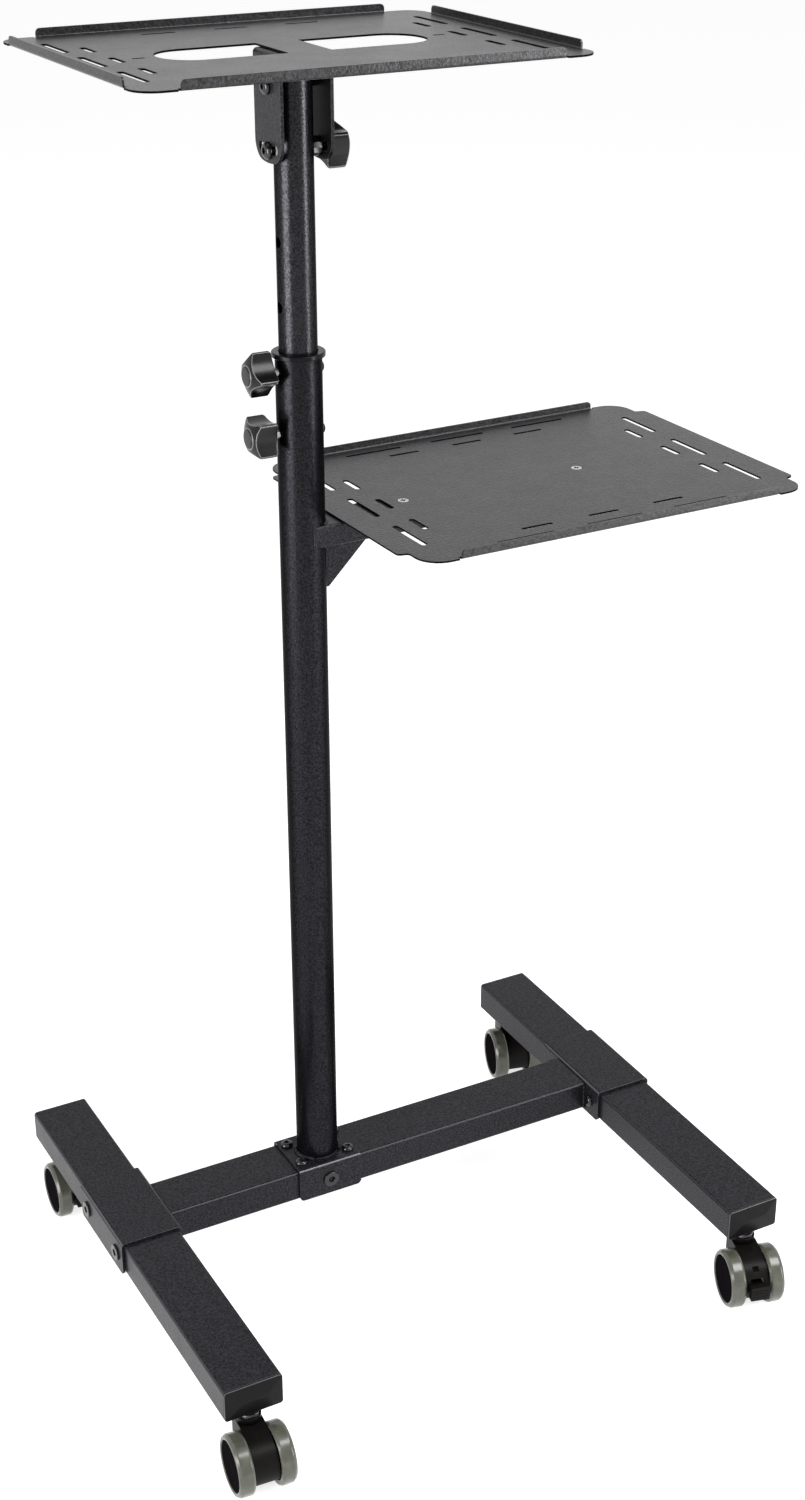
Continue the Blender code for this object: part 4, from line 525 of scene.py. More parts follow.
def button_profile(shank, length, head, height, socket, depth):
    """Shank, seat, domed head and the socket's wall and floor, as (radius, height). The dome's
    radius and height follow a quarter turn's cosine and sine."""
    dome = np.linspace(0, 1, 9)
    top = socket * 1.25
    dome_radius = head - (head - top) * (1 - np.cos(dome * math.pi / 2))
    dome_height = height * (0.18 + 0.82 * np.sin(dome * math.pi / 2))
    start = [(shank, -length), (shank, 0), (head, 0)]
    end = [(socket, height), (socket, height - depth)]
    return np.vstack([start, np.stack([dome_radius, dome_height], axis=1), end])


black_steel = metal("black_steel", (0.004, 0.004, 0.005), 0.08, 700, metallic=0.0)
for end, screw_y in (("front", -SADDLE_SCREW_FORE), ("back", SADDLE_SCREW_FORE)):
    for side, screw_x in (("left", -SADDLE_SCREW_OUT), ("right", SADDLE_SCREW_OUT)):
        profile = button_profile(SHANK, SADDLE_SCREW_LENGTH, BUTTON_HEAD, BUTTON_RISE,
                                 BUTTON_SOCKET, BUTTON_SOCKET_DEPTH)
        screw = spun(f"saddle_button_{end}_{side}", profile, "+Z",
                     (screw_x, screw_y, BRACKET_TOP + SEAT_GAP), 48, BUTTON_SOCKET_FROM)
        add_piece(screw, black_steel, "base", "black_screws", f"saddle_screw_{end}_{side}",
                  edge=SCREW_EDGE)


def flanged_bolt(name, axis, grip, place):
    """Both heads on one shank, from the button's socket floor to the sleeve nut's. The first
    two and the last two rows, which are the sockets, take a hexagon's outline."""
    button = button_profile(SHANK, 0.0, BUTTON_HEAD, BUTTON_RISE, BUTTON_SOCKET,
                            BUTTON_SOCKET_DEPTH)[1:]
    button = np.stack([button[::-1, 0], -button[::-1, 1]], axis=1)
    nut = np.array([(SHANK, grip), (NUT_HEAD, grip), (NUT_HEAD, grip + 0.0010),
                    (0.00695, grip + 0.0014), (0.0066, grip + NUT_RISE), (0.0035, grip + NUT_RISE),
                    (NUT_SOCKET, grip + 0.0014), (NUT_SOCKET, grip - 0.0004)])
    profile = np.vstack([button, nut])
    angle = full_turn(48)
    radius = np.repeat(profile[:, :1], 48, axis=1)
    radius[:2] *= hexagon(angle)
    radius[-2:] *= hexagon(angle) * 0.93
    return solid_mesh(name, *carried(rings_round(radius, profile[:, 1:2], angle, axis, place)))


leg_grip = 2 * (LEG_BRACKET_HALF + SEAT_GAP)
for side, leg_x in LEG_PLACES.items():
    outward = 1 if side == "right" else -1
    for end, bolt_y in (("front", -LEG_BOLT_FORE), ("back", LEG_BOLT_FORE)):
        bolt = flanged_bolt(f"{side}_{end}_leg_pin", "+X" if outward > 0 else "-X", leg_grip,
                            (leg_x - outward * leg_grip / 2, bolt_y, TUBE_MIDDLE))
        add_piece(bolt, black_steel, "base", "black_screws", f"{side}_leg_{end}_bolt",
                  edge=SCREW_EDGE)
saddle_grip = 2 * (SADDLE_HALF + SEAT_GAP)
side_pin = flanged_bolt("saddle_pin", "-Y", saddle_grip, (0, saddle_grip / 2, TUBE_MIDDLE))
add_piece(side_pin, black_steel, "base", "black_screws", "saddle_side_bolt", edge=SCREW_EDGE)


# Outer pole: a round steel tube that stands upright, welded to the saddle. Its coat is smoother
# than the legs' and has more metal flake in it, so it shines along the tube.
POLE_RADIUS, POLE_WALL, POLE_TOP = 0.01833, 0.0016, 0.8267
POLE_SIDES = 128


def spun_wall(name, loop):
    """A closed loop (radius, height) carried round the pole's axis, back to its start."""
    rings = rings_round(loop[:, :1], loop[:, 1:2], full_turn(POLE_SIDES))
    return solid_mesh(name, *carried(rings, wrap=True))


def round_tube(name, radius, wall, foot, top):
    """A tube's wall as one loop: outer face, rounded rims and inner face."""
    inner = radius - wall
    return spun_wall(name, eased([(radius, foot, 0.0004), (radius, top, 0.0005), (inner, top, 0.0004),
                                  (inner, foot, 0.0004)], 4))


pole_coat = powder_coat("pole_coat", (0.0145, 0.0142, 0.0164), 0.25, 0.12, 0.60, 700, 0.80, 0.10)
outer = round_tube("outer_column", POLE_RADIUS, POLE_WALL, POLE_FOOT, POLE_TOP)
add_piece(outer, pole_coat, "base", "powder_coat", "outer_pole")


# Bush: a moulded plastic sleeve pushed into the pole's mouth, with a collar on the rim that the
# inner pole slides through. Its two lugs snap through the wall on the right.
MAST_RADIUS, MAST_WALL, MAST_FOOT, MAST_TOP = 0.01502, 0.0015, 0.5350, 1.0420
CLAMP_HEIGHTS = {"upper": 0.8164, "lower": 0.7672}
COLLAR_RADIUS, COLLAR_HEIGHT, SLEEVE_LENGTH, BUSH_EDGE = 0.0210, 0.0040, 0.08, 0.0003
LUG_RADIUS, LUG_ROOT, LUG_RISE = 0.0050, 0.0008, 0.0028
bush_plastic = moulded("bush_plastic", (0.004, 0.004, 0.005), 0.20, 1200, 0.12, 0.12)
# A paler plastic for the collar's softened edges: a painted highlight along its rims.
bush_highlight = moulded("bush_highlight", (0.10, 0.10, 0.105), 0.25, 1200, 0.10, 0.60)
collar_seat = POLE_TOP + SEAT_GAP
bore, sleeve = MAST_RADIUS + SEAT_GAP, POLE_RADIUS - POLE_WALL - SEAT_GAP
collar_loop = eased([(sleeve, collar_seat - SLEEVE_LENGTH, 0.0003), (sleeve, collar_seat, 0.0002),
                     (COLLAR_RADIUS, collar_seat, 0.0006),
                     (COLLAR_RADIUS, collar_seat + COLLAR_HEIGHT, 0.0010),
                     (bore, collar_seat + COLLAR_HEIGHT, 0.0004),
                     (bore, collar_seat - SLEEVE_LENGTH, 0.0003)], 5)
collar = spun_wall("column_collar", collar_loop)
add_piece(collar, bush_plastic, "base", "black_plastic", "pole_bush", edge=BUSH_EDGE,
          highlight_surface=bush_highlight)
for name, height in CLAMP_HEIGHTS.items():
    bulge = np.linspace(0, math.pi / 2, 12)[:-1]
    lug_profile = np.stack([LUG_RADIUS * np.cos(bulge), POLE_RADIUS - LUG_ROOT
                            + (LUG_ROOT + LUG_RISE) * np.sin(bulge)], axis=1)
    lug = spun(name + "_bush_lug", lug_profile, "+X", (0, 0, height), 40)
    add_piece(lug, bush_plastic, "base", "black_plastic")


# Inner pole: a thinner tube under the same kind of coat, a little paler. A row of index holes is
# drilled down its left side, and it slides in the bush with the head on top of it.
INDEX_PITCH, INDEX_HOLE = 0.0492, 0.0043
mast_coat = powder_coat("mast_coat", (0.0230, 0.0226, 0.0250), 0.25, 0.14, 0.60, 700, 0.80, 0.10)
inner = round_tube("inner_column", MAST_RADIUS, MAST_WALL, MAST_FOOT, MAST_TOP)


def cut_away(mesh, cutters):
    """The mesh less the cutters, worked out exactly and kept as its new shape."""
    blank = bpy.data.objects.new("blank", mesh)
    bpy.context.collection.objects.link(blank)
    tools = []
    for cutter in cutters:
        tool = bpy.data.objects.new("cutter", cutter)
        bpy.context.collection.objects.link(tool)
        tools.append(tool)
        step = blank.modifiers.new("cut", "BOOLEAN")
        step.operation = "DIFFERENCE"
        step.solver = "EXACT"
        step.object = tool
    graph = bpy.context.evaluated_depsgraph_get()
    result = bpy.data.meshes.new_from_object(blank.evaluated_get(graph))
    result.name = mesh.name + "_cut"
    for extra in [blank, *tools]:
        bpy.data.objects.remove(extra)
    result.shade_smooth()
    return result


hole_cutters = []
for step in range(-4, 4):
    rod = np.array([(INDEX_HOLE, 0.0120), (INDEX_HOLE, 0.0180)])
    place = (0, 0, CLAMP_HEIGHTS["lower"] + step * INDEX_PITCH)
    hole_cutters.append(spun("index_hole", rod, "-X", place, 32))
inner = cut_away(inner, hole_cutters)
inner.name = "inner_column"
add_piece(inner, mast_coat, "mast", "powder_coat", "inner_pole", edge=0.0003)


# Clamps: two zinc-plated screws through the outer pole, one index step apart. Each has a moulded
# knob with four narrow ridges, a wide scooped side between each two, and a disc on a coned end.
KNOB_RIDGE, KNOB_RIDGE_WIDTH, KNOB_WAIST, RIDGES = 0.0183, 0.0022, 0.0115, 4
KNOB_CHAMFER, KNOB_SLOPE, KNOB_FOOT, KNOB_DROP = 0.0018, 0.42, 0.0081, 0.0054
KNOB_SWELL, KNOB_SWELL_RUN, KNOB_EDGE = 0.0004, 0.00428, 0.0005
CLAMP_KNOB_DEPTH, KNOB_STANDOFF = 0.0206, 0.0061
STUD_RADIUS, STUD_TIP, STUD_TAPER, STUD_IN_KNOB = 0.0030, 0.0026, 0.0009, 0.0130


def knob_outline(ridge, waist):
    """Sides that sink from the ridges' edges to the waist: across a side the distance from the
    axis follows a parabola. The ridges are the short flats left between sides."""
    wedge = math.pi / RIDGES
    half = KNOB_RIDGE_WIDTH / 2
    rim = ridge * math.cos(wedge) + half * math.sin(wedge)
    reach = ridge * math.sin(wedge) - half * math.cos(wedge)
    share = np.linspace(-1, 1, 13)[None]
    facing = ((2 * np.arange(RIDGES) + 1) * wedge)[:, None]
    out, across = waist + (rim - waist) * share ** 2, reach * share
    sides = np.stack([out * np.cos(facing) - across * np.sin(facing),
                      out * np.sin(facing) + across * np.cos(facing)], axis=-1)
    return sides.reshape(-1, 2)


def knob_mesh(name, depth, outward, turn_by, place):
    """Rows over the outline's points: a chamfered base, straight sides up to a shallow cone
    (its height falls with the distance from the axis, less a sine's swell), then the outline
    shrinks along the cone to a circle, and a disc with an eased rim rises from it."""
    full = knob_outline(KNOB_RIDGE, KNOB_WAIST)
    base = knob_outline(KNOB_RIDGE - KNOB_CHAMFER, KNOB_WAIST - 0.0003)
    distance = np.linalg.norm(full, axis=1)
    unit = full / distance[:, None]

    def cone(radius):
        """The end's height at a distance from the axis."""
        slope = (KNOB_RIDGE - radius) * KNOB_SLOPE
        return depth - KNOB_DROP + slope + KNOB_SWELL * np.sin(slope / KNOB_SWELL_RUN * math.pi)

    rows = [(base, np.zeros(len(base))), (full, np.full(len(full), KNOB_CHAMFER)),
            (full, cone(distance))]
    for share in (0.34, 0.67, 1.0):
        radius = distance + (KNOB_FOOT - distance) * share
        rows.append((unit * radius[:, None], cone(radius)))
    for radius, drop in ((0.0077, 0.0004), (0.0074, 0.0001), (0.0070, 0.0), (0.0030, -0.0001)):
        rows.append((unit * radius, np.full(len(full), depth - drop)))
    phase = np.array([[math.cos(turn_by), math.sin(turn_by)],
                      [-math.sin(turn_by), math.cos(turn_by)]])
    rings = []
    for outline, along in rows:
        turned = outline @ phase
        rings.append(np.stack([outward * along, -outward * turned[:, 0], turned[:, 1]], axis=-1))
    return solid_mesh(name, *carried(np.array(rings) + np.array(place)))


knob_plastic = moulded("knob_plastic", (0.0035, 0.0035, 0.0040), 0.20, 1100, 0.20, 0.24)
# A paler plastic for the knobs' softened edges: a painted highlight along the ridges.
knob_highlight = moulded("knob_highlight", (0.13, 0.13, 0.135), 0.25, 1100, 0.10, 0.60)
zinc = metal("zinc", (0.66, 0.66, 0.65), 0.38, 900, metallic=0.45)
knob_seat = POLE_RADIUS + KNOB_STANDOFF
for name, turn_by in (("upper", math.radians(9)), ("lower", math.radians(46.5))):
    height = CLAMP_HEIGHTS[name]
    stud_profile = eased([(STUD_TIP, MAST_RADIUS + SEAT_GAP, 0.0),
                          (STUD_RADIUS, MAST_RADIUS + STUD_TAPER, 0.0002),
                          (STUD_RADIUS, knob_seat + STUD_IN_KNOB, 0.0)], 4, closed=False)
    stud = spun(name + "_clamp_stud", stud_profile, "-X", (0, 0, height), 48)
    add_piece(stud, zinc, name + "_clamp", "bright_steel", name + "_clamp_screw")
    knob = knob_mesh(name + "_ridged_knob", CLAMP_KNOB_DEPTH, -1, turn_by,
                     (-knob_seat, 0, height))
    add_piece(knob, knob_plastic, name + "_clamp", "black_plastic", name + "_clamp_knob",
              edge=KNOB_EDGE, highlight_surface=knob_highlight)


# Lower tray's arm: a rectangular steel tube coped to the pole and welded there, under the same
# coat as the legs. Arm and tray stand a little out of line with the cross tube.
ARM_YAW, ARM_WIDTH, ARM_HEIGHT, ARM_END = math.radians(1.33), 0.0380, 0.0182, 0.2880
ARM_WALL, ARM_CORNER, ARM_INNER_CORNER = 0.0015, 0.0022, 0.0010
LOWER_TRAY_HEIGHT = 0.6933
ARM_MIDDLE = LOWER_TRAY_HEIGHT - SEAT_GAP - ARM_HEIGHT / 2
yaw_turn = np.array([[math.cos(ARM_YAW), -math.sin(ARM_YAW), 0],
                     [math.sin(ARM_YAW), math.cos(ARM_YAW), 0], [0, 0, 1]])


def coped_end(across):
    """Where a bar meets the pole: the circle's X at each distance across it."""
    return np.sqrt(np.clip((POLE_RADIUS + SEAT_GAP) ** 2 - across ** 2, 0, None))


outer_ring = box_outline(ARM_WIDTH, ARM_HEIGHT, ARM_CORNER, (0, ARM_MIDDLE))
inner_ring = box_outline(ARM_WIDTH - 2 * ARM_WALL, ARM_HEIGHT - 2 * ARM_WALL, ARM_INNER_CORNER,
                         (0, ARM_MIDDLE))
arm_rings = []
for ring, at_pole in ((outer_ring, True), (outer_ring, False), (inner_ring, False),
                      (inner_ring, True)):
    reach = coped_end(ring[:, 0]) if at_pole else np.full(len(ring), ARM_END)
    arm_rings.append(np.stack([reach, ring[:, 0], ring[:, 1]], axis=1))
arm_points, arm_faces = carried(np.array(arm_rings), wrap=True)
arm = solid_mesh("tray_bar", arm_points @ yaw_turn.T, arm_faces)
add_piece(arm, black_coat, "base", "powder_coat", "tray_arm", edge=0.0003,
          highlight_surface=edge_highlight_coat)


# Gusset: a triangle of 3 mm steel plate under the arm, with its sharp ends snubbed, welded to the
# pole and coated with the rest.
GUSSET_REACH, GUSSET_SNUB, GUSSET_HALF = 0.0402, 0.0035, 0.0015
gusset_left, gusset_top = POLE_RADIUS + SEAT_GAP, ARM_MIDDLE - ARM_HEIGHT / 2 - SEAT_GAP
gusset_outline = np.array([(0, 0), (0, -GUSSET_REACH), (GUSSET_SNUB, -GUSSET_REACH),
                           (GUSSET_REACH, -GUSSET_SNUB), (GUSSET_REACH, 0)])
gusset_outline = gusset_outline + np.array([gusset_left, gusset_top])
gusset_rings = np.array([np.stack([gusset_outline[:, 0], np.full(5, y), gusset_outline[:, 1]], axis=1)
                         for y in (-GUSSET_HALF, GUSSET_HALF)])
gusset_points, gusset_faces = carried(gusset_rings)
gusset = solid_mesh("arm_web", gusset_points @ yaw_turn.T, gusset_faces)
add_piece(gusset, black_coat, "base", "powder_coat", "arm_gusset", edge=0.0004,
          highlight_surface=edge_highlight_coat)


# Lower tray: a 1.5 mm steel blank punched with rows of slots and folded up at its front and
# back. The ears at the corners and the two short sides stay flat. It is screwed to the arm.
SHEET, LIP_HEIGHT, LIP_BEND, LIP_STEPS, SHEET_EDGE = 0.0015, 0.0077, 0.0025, 8, 0.00035
SLOT_WIDTH, ROW_SLOT_WIDTH = 0.0054, 0.0036
RELIEF_WIDTH, RELIEF_DEPTH = 0.0018, 0.0010
TAB_RADIUS, RELIEF_RADIUS, ROOT_RADIUS = 0.0035, 0.0008, 0.0003
LOWER_TRAY_X, TRAY_SCREW_HOLE = 0.2148, 0.0049
TRAY_SCREWS = {"near": 0.0916, "far": 0.2589}
# How far up the back bend, as a share of its radius, the painted highlight reaches.
HIGHLIGHT_FOOT_SHARE = 0.8
# Each row of slots: how far off the middle, the slots' pitch and length, and which way they run
LOWER_ROWS = ((0.1598, 0.0750, 0.0500, "Y"), (0.1407, 0.0554, 0.0260, "Y"),
              (0.1230, 0.0830, 0.0535, "X"), (0.1060, 0.0624, 0.0288, "X"))


def slot_loop(centre, length, direction):
    """A slot with round ends: a rectangle whose corners take nearly half its width."""
    width = ROW_SLOT_WIDTH if direction == "X" else SLOT_WIDTH
    size = (length, width) if direction == "X" else (width, length)
    return box_outline(*size, width / 2 - 0.00005, centre)


def slot_rows(rows, side):
    """The rows of slots on one side of a tray, three slots in line to a row."""
    loops = []
    for off, pitch, length, direction in rows:
        centre = np.array([0, side * off] if direction == "X" else [side * off, 0])
        step = np.array([1, 0]) if direction == "X" else np.array([0, 1])
        loops += [slot_loop(centre + step * pitch * share, length, direction)
                  for share in (-1, 0, 1)]
    return loops


def blank_outline(width, depth, front_lip, side_tab, ear_radius, tab_reach=None):
    """The flat blank's edge: tabs on all sides, ears at the corners, and narrow reliefs
    between them. A side tab is flat and reaches past the ears where tab_reach is given.
    Returns the edge and its folds: across which axis, how far out, and the lip's half length."""
    flat_lip = LIP_BEND * math.pi / 2 + LIP_HEIGHT - LIP_BEND
    ear_x, ear_y = width / 2, depth / 2
    fold_x, fold_y = ear_x - LIP_BEND, ear_y - LIP_BEND
    side_end, front_end = side_tab / 2, front_lip / 2
    tab_y, front_root = fold_y + flat_lip, fold_y - RELIEF_DEPTH
    head = [(front_end + RELIEF_WIDTH, ear_y, RELIEF_RADIUS),
            (front_end + RELIEF_WIDTH, front_root, ROOT_RADIUS),
            (front_end, front_root, ROOT_RADIUS), (front_end, tab_y, TAB_RADIUS)]
    folds = [(1, fold_y, front_end)]
    if tab_reach is None:
        side_root = fold_x - RELIEF_DEPTH
        quarter = [(fold_x + flat_lip, side_end, TAB_RADIUS), (side_root, side_end, ROOT_RADIUS),
                   (side_root, side_end + RELIEF_WIDTH, ROOT_RADIUS),
                   (ear_x, side_end + RELIEF_WIDTH, RELIEF_RADIUS), (ear_x, ear_y, ear_radius)]
        folds.append((0, fold_x, side_end))
    else:
        quarter = [(ear_x + tab_reach, side_end, 0.0040), (ear_x, side_end + RELIEF_WIDTH, 0.0030),
                   (ear_x, ear_y, ear_radius)]
    corners = []
    for side, end in ((1, 1), (-1, 1), (-1, -1), (1, -1)):
        run = [(side * u, end * v, radius) for u, v, radius in quarter + head]
        corners += run if side * end > 0 else run[::-1]
    return eased(corners, 8), folds


def folded_tray(name, loops, folds, highlight_foot=False):
    """A blank filled between its loops, then rolled up beyond each fold line: past the line a point turns
    about an axis one bend radius above it, and past a right angle it goes straight up. The lips take the
    lips' coat; where asked, a strip at the foot of the back bend takes the edges' paler coat instead, a
    painted highlight along the bend."""
    body = bmesh.new()
    edges = []
    for loop in loops:
        ring = [body.verts.new((u, v, 0)) for u, v in loop]
        edges += [body.edges.new((ring[i - 1], ring[i])) for i in range(len(ring))]
    bmesh.ops.triangle_fill(body, edges=edges, use_beauty=True, normal=(0, 0, 1))
    run = LIP_BEND * math.pi / 2
    for axis, line, _ in folds:
        for side in (-1, 1):
            for step in range(LIP_STEPS + 1):
                place, normal = [0, 0, 0], [0, 0, 0]
                place[axis], normal[axis] = side * (line + run * step / LIP_STEPS), side
                bmesh.ops.bisect_plane(body, geom=body.verts[:] + body.edges[:] + body.faces[:],
                                       plane_co=place, plane_no=normal)
    mesh = bpy.data.meshes.new(name)
    body.to_mesh(mesh)
    body.free()
    points = np.empty(len(mesh.vertices) * 3)
    mesh.vertices.foreach_get("co", points)
    points = points.reshape(-1, 3)
    middles = np.array([points[list(face.vertices)].mean(axis=0) for face in mesh.polygons])
    for axis, line, half in folds:
        lipped = np.abs(middles[:, 1 - axis]) < half + RELIEF_WIDTH / 2
        past = np.abs(middles[:, axis]) - line
        for number in np.flatnonzero((past > 0) & lipped):
            foot = middles[number, axis] > 0 and axis == 1 and past[number] < LIP_BEND * HIGHLIGHT_FOOT_SHARE
            mesh.polygons[number].material_index = 1 if foot and highlight_foot else 3
        beyond = np.abs(points[:, axis]) - line
        rolled = (beyond > 0) & (np.abs(points[:, 1 - axis]) < half + RELIEF_WIDTH / 2)
        angle = np.clip(beyond, 0, run) / LIP_BEND
        straight = np.clip(beyond - run, 0, None)
        out = line + LIP_BEND * np.sin(angle)
        up = LIP_BEND * (1 - np.cos(angle)) + straight
        points[rolled, axis] = (np.sign(points[:, axis]) * out)[rolled]
        points[rolled, 2] = up[rolled]
    return mesh, points


def add_tray(mesh, points, body_name, node):
    """Gives the folded sheet its thickness, upwards and inwards, and soft edges in the edges' paler coat,
    which paints a highlight along them. The cut walls of the flat part, its slots among them, take a dark
    coat with hardly any gloss, a painted shade that keeps them dark."""
    mesh.vertices.foreach_set("co", (points + column_place).ravel())
    mesh.update()
    mesh.shade_smooth()
    for finish in (tray_coat, edge_highlight_coat, painted_shade_wall, lip_coat):
        mesh.materials.append(finish)
    tray = bpy.data.objects.new(mesh.name, mesh)
    bpy.context.collection.objects.link(tray)
    wall = tray.modifiers.new("sheet", "SOLIDIFY")
    wall.thickness = SHEET
    wall.offset = 1
    wall.use_even_offset = True
    wall.material_offset_rim = 2
    soften = tray.modifiers.new("soft_edges", "BEVEL")
    soften.width = SHEET_EDGE
    soften.segments = 2
    soften.limit_method = "ANGLE"
    soften.angle_limit = math.radians(40)
    soften.material = 1
    flats = tray.modifiers.new("flats", "WEIGHTED_NORMAL")
    flats.keep_sharp = True
    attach(tray, body_name)
    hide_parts(node)


tray_coat = powder_coat("tray_coat", (0.0150, 0.0150, 0.0166), 0.31, 0.37, 1.00, 500, 0.30, 1.00,
                        0.00045)
lip_coat = powder_coat("lip_coat", (0.0170, 0.0170, 0.0186), 0.30, 0.40, 1.00, 500, 0.30, 1.00)
# A dark, nearly glossless coat for cut walls: painted shade in the slots and in the screws' recesses.
painted_shade_wall = powder_coat("painted_shade_wall", (0.0030, 0.0030, 0.0033), 0.60, 0.05, 0.50, 700, 0.00, 0.10)
lower_edge, lower_folds = blank_outline(width=0.3596, depth=0.2770, front_lip=0.3000,
                                        side_tab=0.2140, ear_radius=0.0200, tab_reach=0.0088)
lower_loops = [lower_edge, *slot_rows(LOWER_ROWS, -1), *slot_rows(LOWER_ROWS, 1)]
for screw_x in TRAY_SCREWS.values():
    ring = np.linspace(0, 2 * math.pi, 32, endpoint=False)
    lower_loops.append(np.stack([screw_x - LOWER_TRAY_X + TRAY_SCREW_HOLE * np.cos(ring),
                                 TRAY_SCREW_HOLE * np.sin(ring)], axis=1))
lower_mesh, lower_points = folded_tray("lower_shelf", lower_loops, lower_folds, True)
lower_points = lower_points + np.array([LOWER_TRAY_X, 0, LOWER_TRAY_HEIGHT])
add_tray(lower_mesh, lower_points @ yaw_turn.T, "base", "lower_tray")


# Tray screws: two zinc-plated countersunk screws with cross recesses, flush with the lower tray,
# that hold it to the arm.
TRAY_SHANK, TRAY_HEAD, TRAY_SCREW_LENGTH = 0.0024, 0.0046, 0.0090
CROSS_REACH, CROSS_DEPTH, CROSS_ARM_SHARE = 0.0026, 0.0009, 0.28


def cross_screw(name, place):
    """A flat head turned round its axis. The recess rows take a plus sign's outline: an arm's
    end where the ray leaves through it, and an arm's side elsewhere."""
    rows = np.array([(TRAY_SHANK, -TRAY_SCREW_LENGTH), (TRAY_SHANK, 0.0),
                     (TRAY_HEAD, SHEET - 0.0002), (TRAY_HEAD - 0.0001, SHEET),
                     (CROSS_REACH, SHEET), (CROSS_REACH - 0.0004, SHEET - CROSS_DEPTH)])
    angle = full_turn(96)
    radius = np.repeat(rows[:, :1], 96, axis=1)
    cosine, sine = np.abs(np.cos(angle)), np.abs(np.sin(angle))
    radius[-2:] *= np.minimum(1 / np.maximum(cosine, sine),
                              CROSS_ARM_SHARE / np.maximum(np.minimum(cosine, sine), 1e-6))
    points, faces = carried(rings_round(radius, rows[:, 1:2], angle, "+Z", place))
    return solid_mesh(name, points @ yaw_turn.T, faces)


tray_level = LOWER_TRAY_HEIGHT + column_place[2]
for name, screw_x in TRAY_SCREWS.items():
    screw = cross_screw(name + "_cross_screw", (screw_x, 0, LOWER_TRAY_HEIGHT))
    screw_axis = np.array([screw_x, 0, 0]) @ yaw_turn.T + column_place
    # The faces in the cross recess take the dark wall coat: painted shade in the recess.
    for face in screw.polygons:
        out = math.dist(face.center[:2], screw_axis[:2])
        in_recess = face.center[2] > tray_level + 0.0003 and out < CROSS_REACH + 0.0001
        face.material_index = int(in_recess)
    add_piece(screw, zinc, "base", "black_screws", "lower_tray_screw_" + name)
    screw.materials.append(painted_shade_wall)


# Tilting head: a folded steel bracket under the top tray turns on a bolt through the inner pole,
# and a second bolt with a knob clamps it anywhere along its two arc slots.
HEAD_MIDDLE, HEAD_HALF, HEAD_SHEET = 0.0012, 0.0215, 0.0025
HEAD_DEPTH_HALF, HEAD_FOOT = 0.0225, 0.9735
HEAD_BEND, HEAD_CORNER, HEAD_BOW, HEAD_EDGE = 0.0036, 0.0110, 0.0620, 0.0004
TOP_TRAY_HEIGHT, PIVOT_HEIGHT, CLAMP_DROP = 1.0530, 1.0286, 0.0460
ARC_SLOT_HALF, ARC_SLOT_END, ARC_SLOT_CUT = 0.0034, 0.0008, 0.03
TILT_LIMIT = math.radians(15) + ARC_SLOT_END / CLAMP_DROP
CLAMP_HEIGHT = PIVOT_HEIGHT - CLAMP_DROP


def arc_slot(name, half_width, start, end):
    """A slot bent round the pivot and carried across the plates: its long sides are arcs a
    half width inside and outside the bolt's path, its ends half circles."""
    sweep = np.linspace(-TILT_LIMIT, TILT_LIMIT, 13)
    cap = np.linspace(0, math.pi, 9)[1:-1]

    def ring(radius, angles):
        """Points at a radius round the pivot, from straight below it."""
        return np.stack([radius * np.sin(angles), -radius * np.cos(angles)], axis=1)

    def rounded(angle, end):
        """The half circle at one end of the slot."""
        middle = ring(CLAMP_DROP, np.array([angle]))
        turns = angle - math.pi / 2 + (cap if end > 0 else cap + math.pi)
        return middle + half_width * np.stack([np.cos(turns), np.sin(turns)], axis=1)

    outline = np.vstack([ring(CLAMP_DROP + half_width, sweep), rounded(TILT_LIMIT, 1),
                         ring(CLAMP_DROP - half_width, sweep[::-1]), rounded(-TILT_LIMIT, -1)])
    rings = [np.stack([np.full(len(outline), x), outline[:, 0], outline[:, 1] + PIVOT_HEIGHT],
                      axis=1) for x in (start, end)]
    return solid_mesh(name, *carried(np.array(rings)))


# A dark coat with hardly any gloss for the bracket's inner faces and undersides: painted shade between the
# plates and under the bracket.
painted_shade_coat = powder_coat("painted_shade_coat", (0.0040, 0.0040, 0.0045), 0.50, 0.10, 0.50, 640, 0.0, 0.10)
head = folded_sheet("tilt_yoke", HEAD_HALF, TOP_TRAY_HEIGHT - SEAT_GAP, HEAD_FOOT, HEAD_SHEET,
                    HEAD_BEND, HEAD_DEPTH_HALF, HEAD_CORNER, HEAD_BOW, "Y", HEAD_MIDDLE)
head = cut_away(head, [arc_slot("yoke_slot", ARC_SLOT_HALF, HEAD_MIDDLE - ARC_SLOT_CUT,
                                HEAD_MIDDLE + ARC_SLOT_CUT)])
head.name = "tilt_yoke"
add_piece(head, black_coat, "tilt_head", "powder_coat", "tilt_bracket", edge=HEAD_EDGE,
          highlight_surface=edge_highlight_coat)
head.materials.append(painted_shade_coat)
head_centre = column_place[0] + HEAD_MIDDLE
# Faces that look inward between the plates or look down take the dark coat, a painted shade.
for face in head.polygons:
    off_centre = face.center[0] - head_centre
    within = abs(off_centre) < HEAD_HALF - HEAD_SHEET / 2
    if within and (face.normal[0] * off_centre < -0.5 * abs(off_centre) or face.normal[2] < -0.5):
        face.material_index = 2


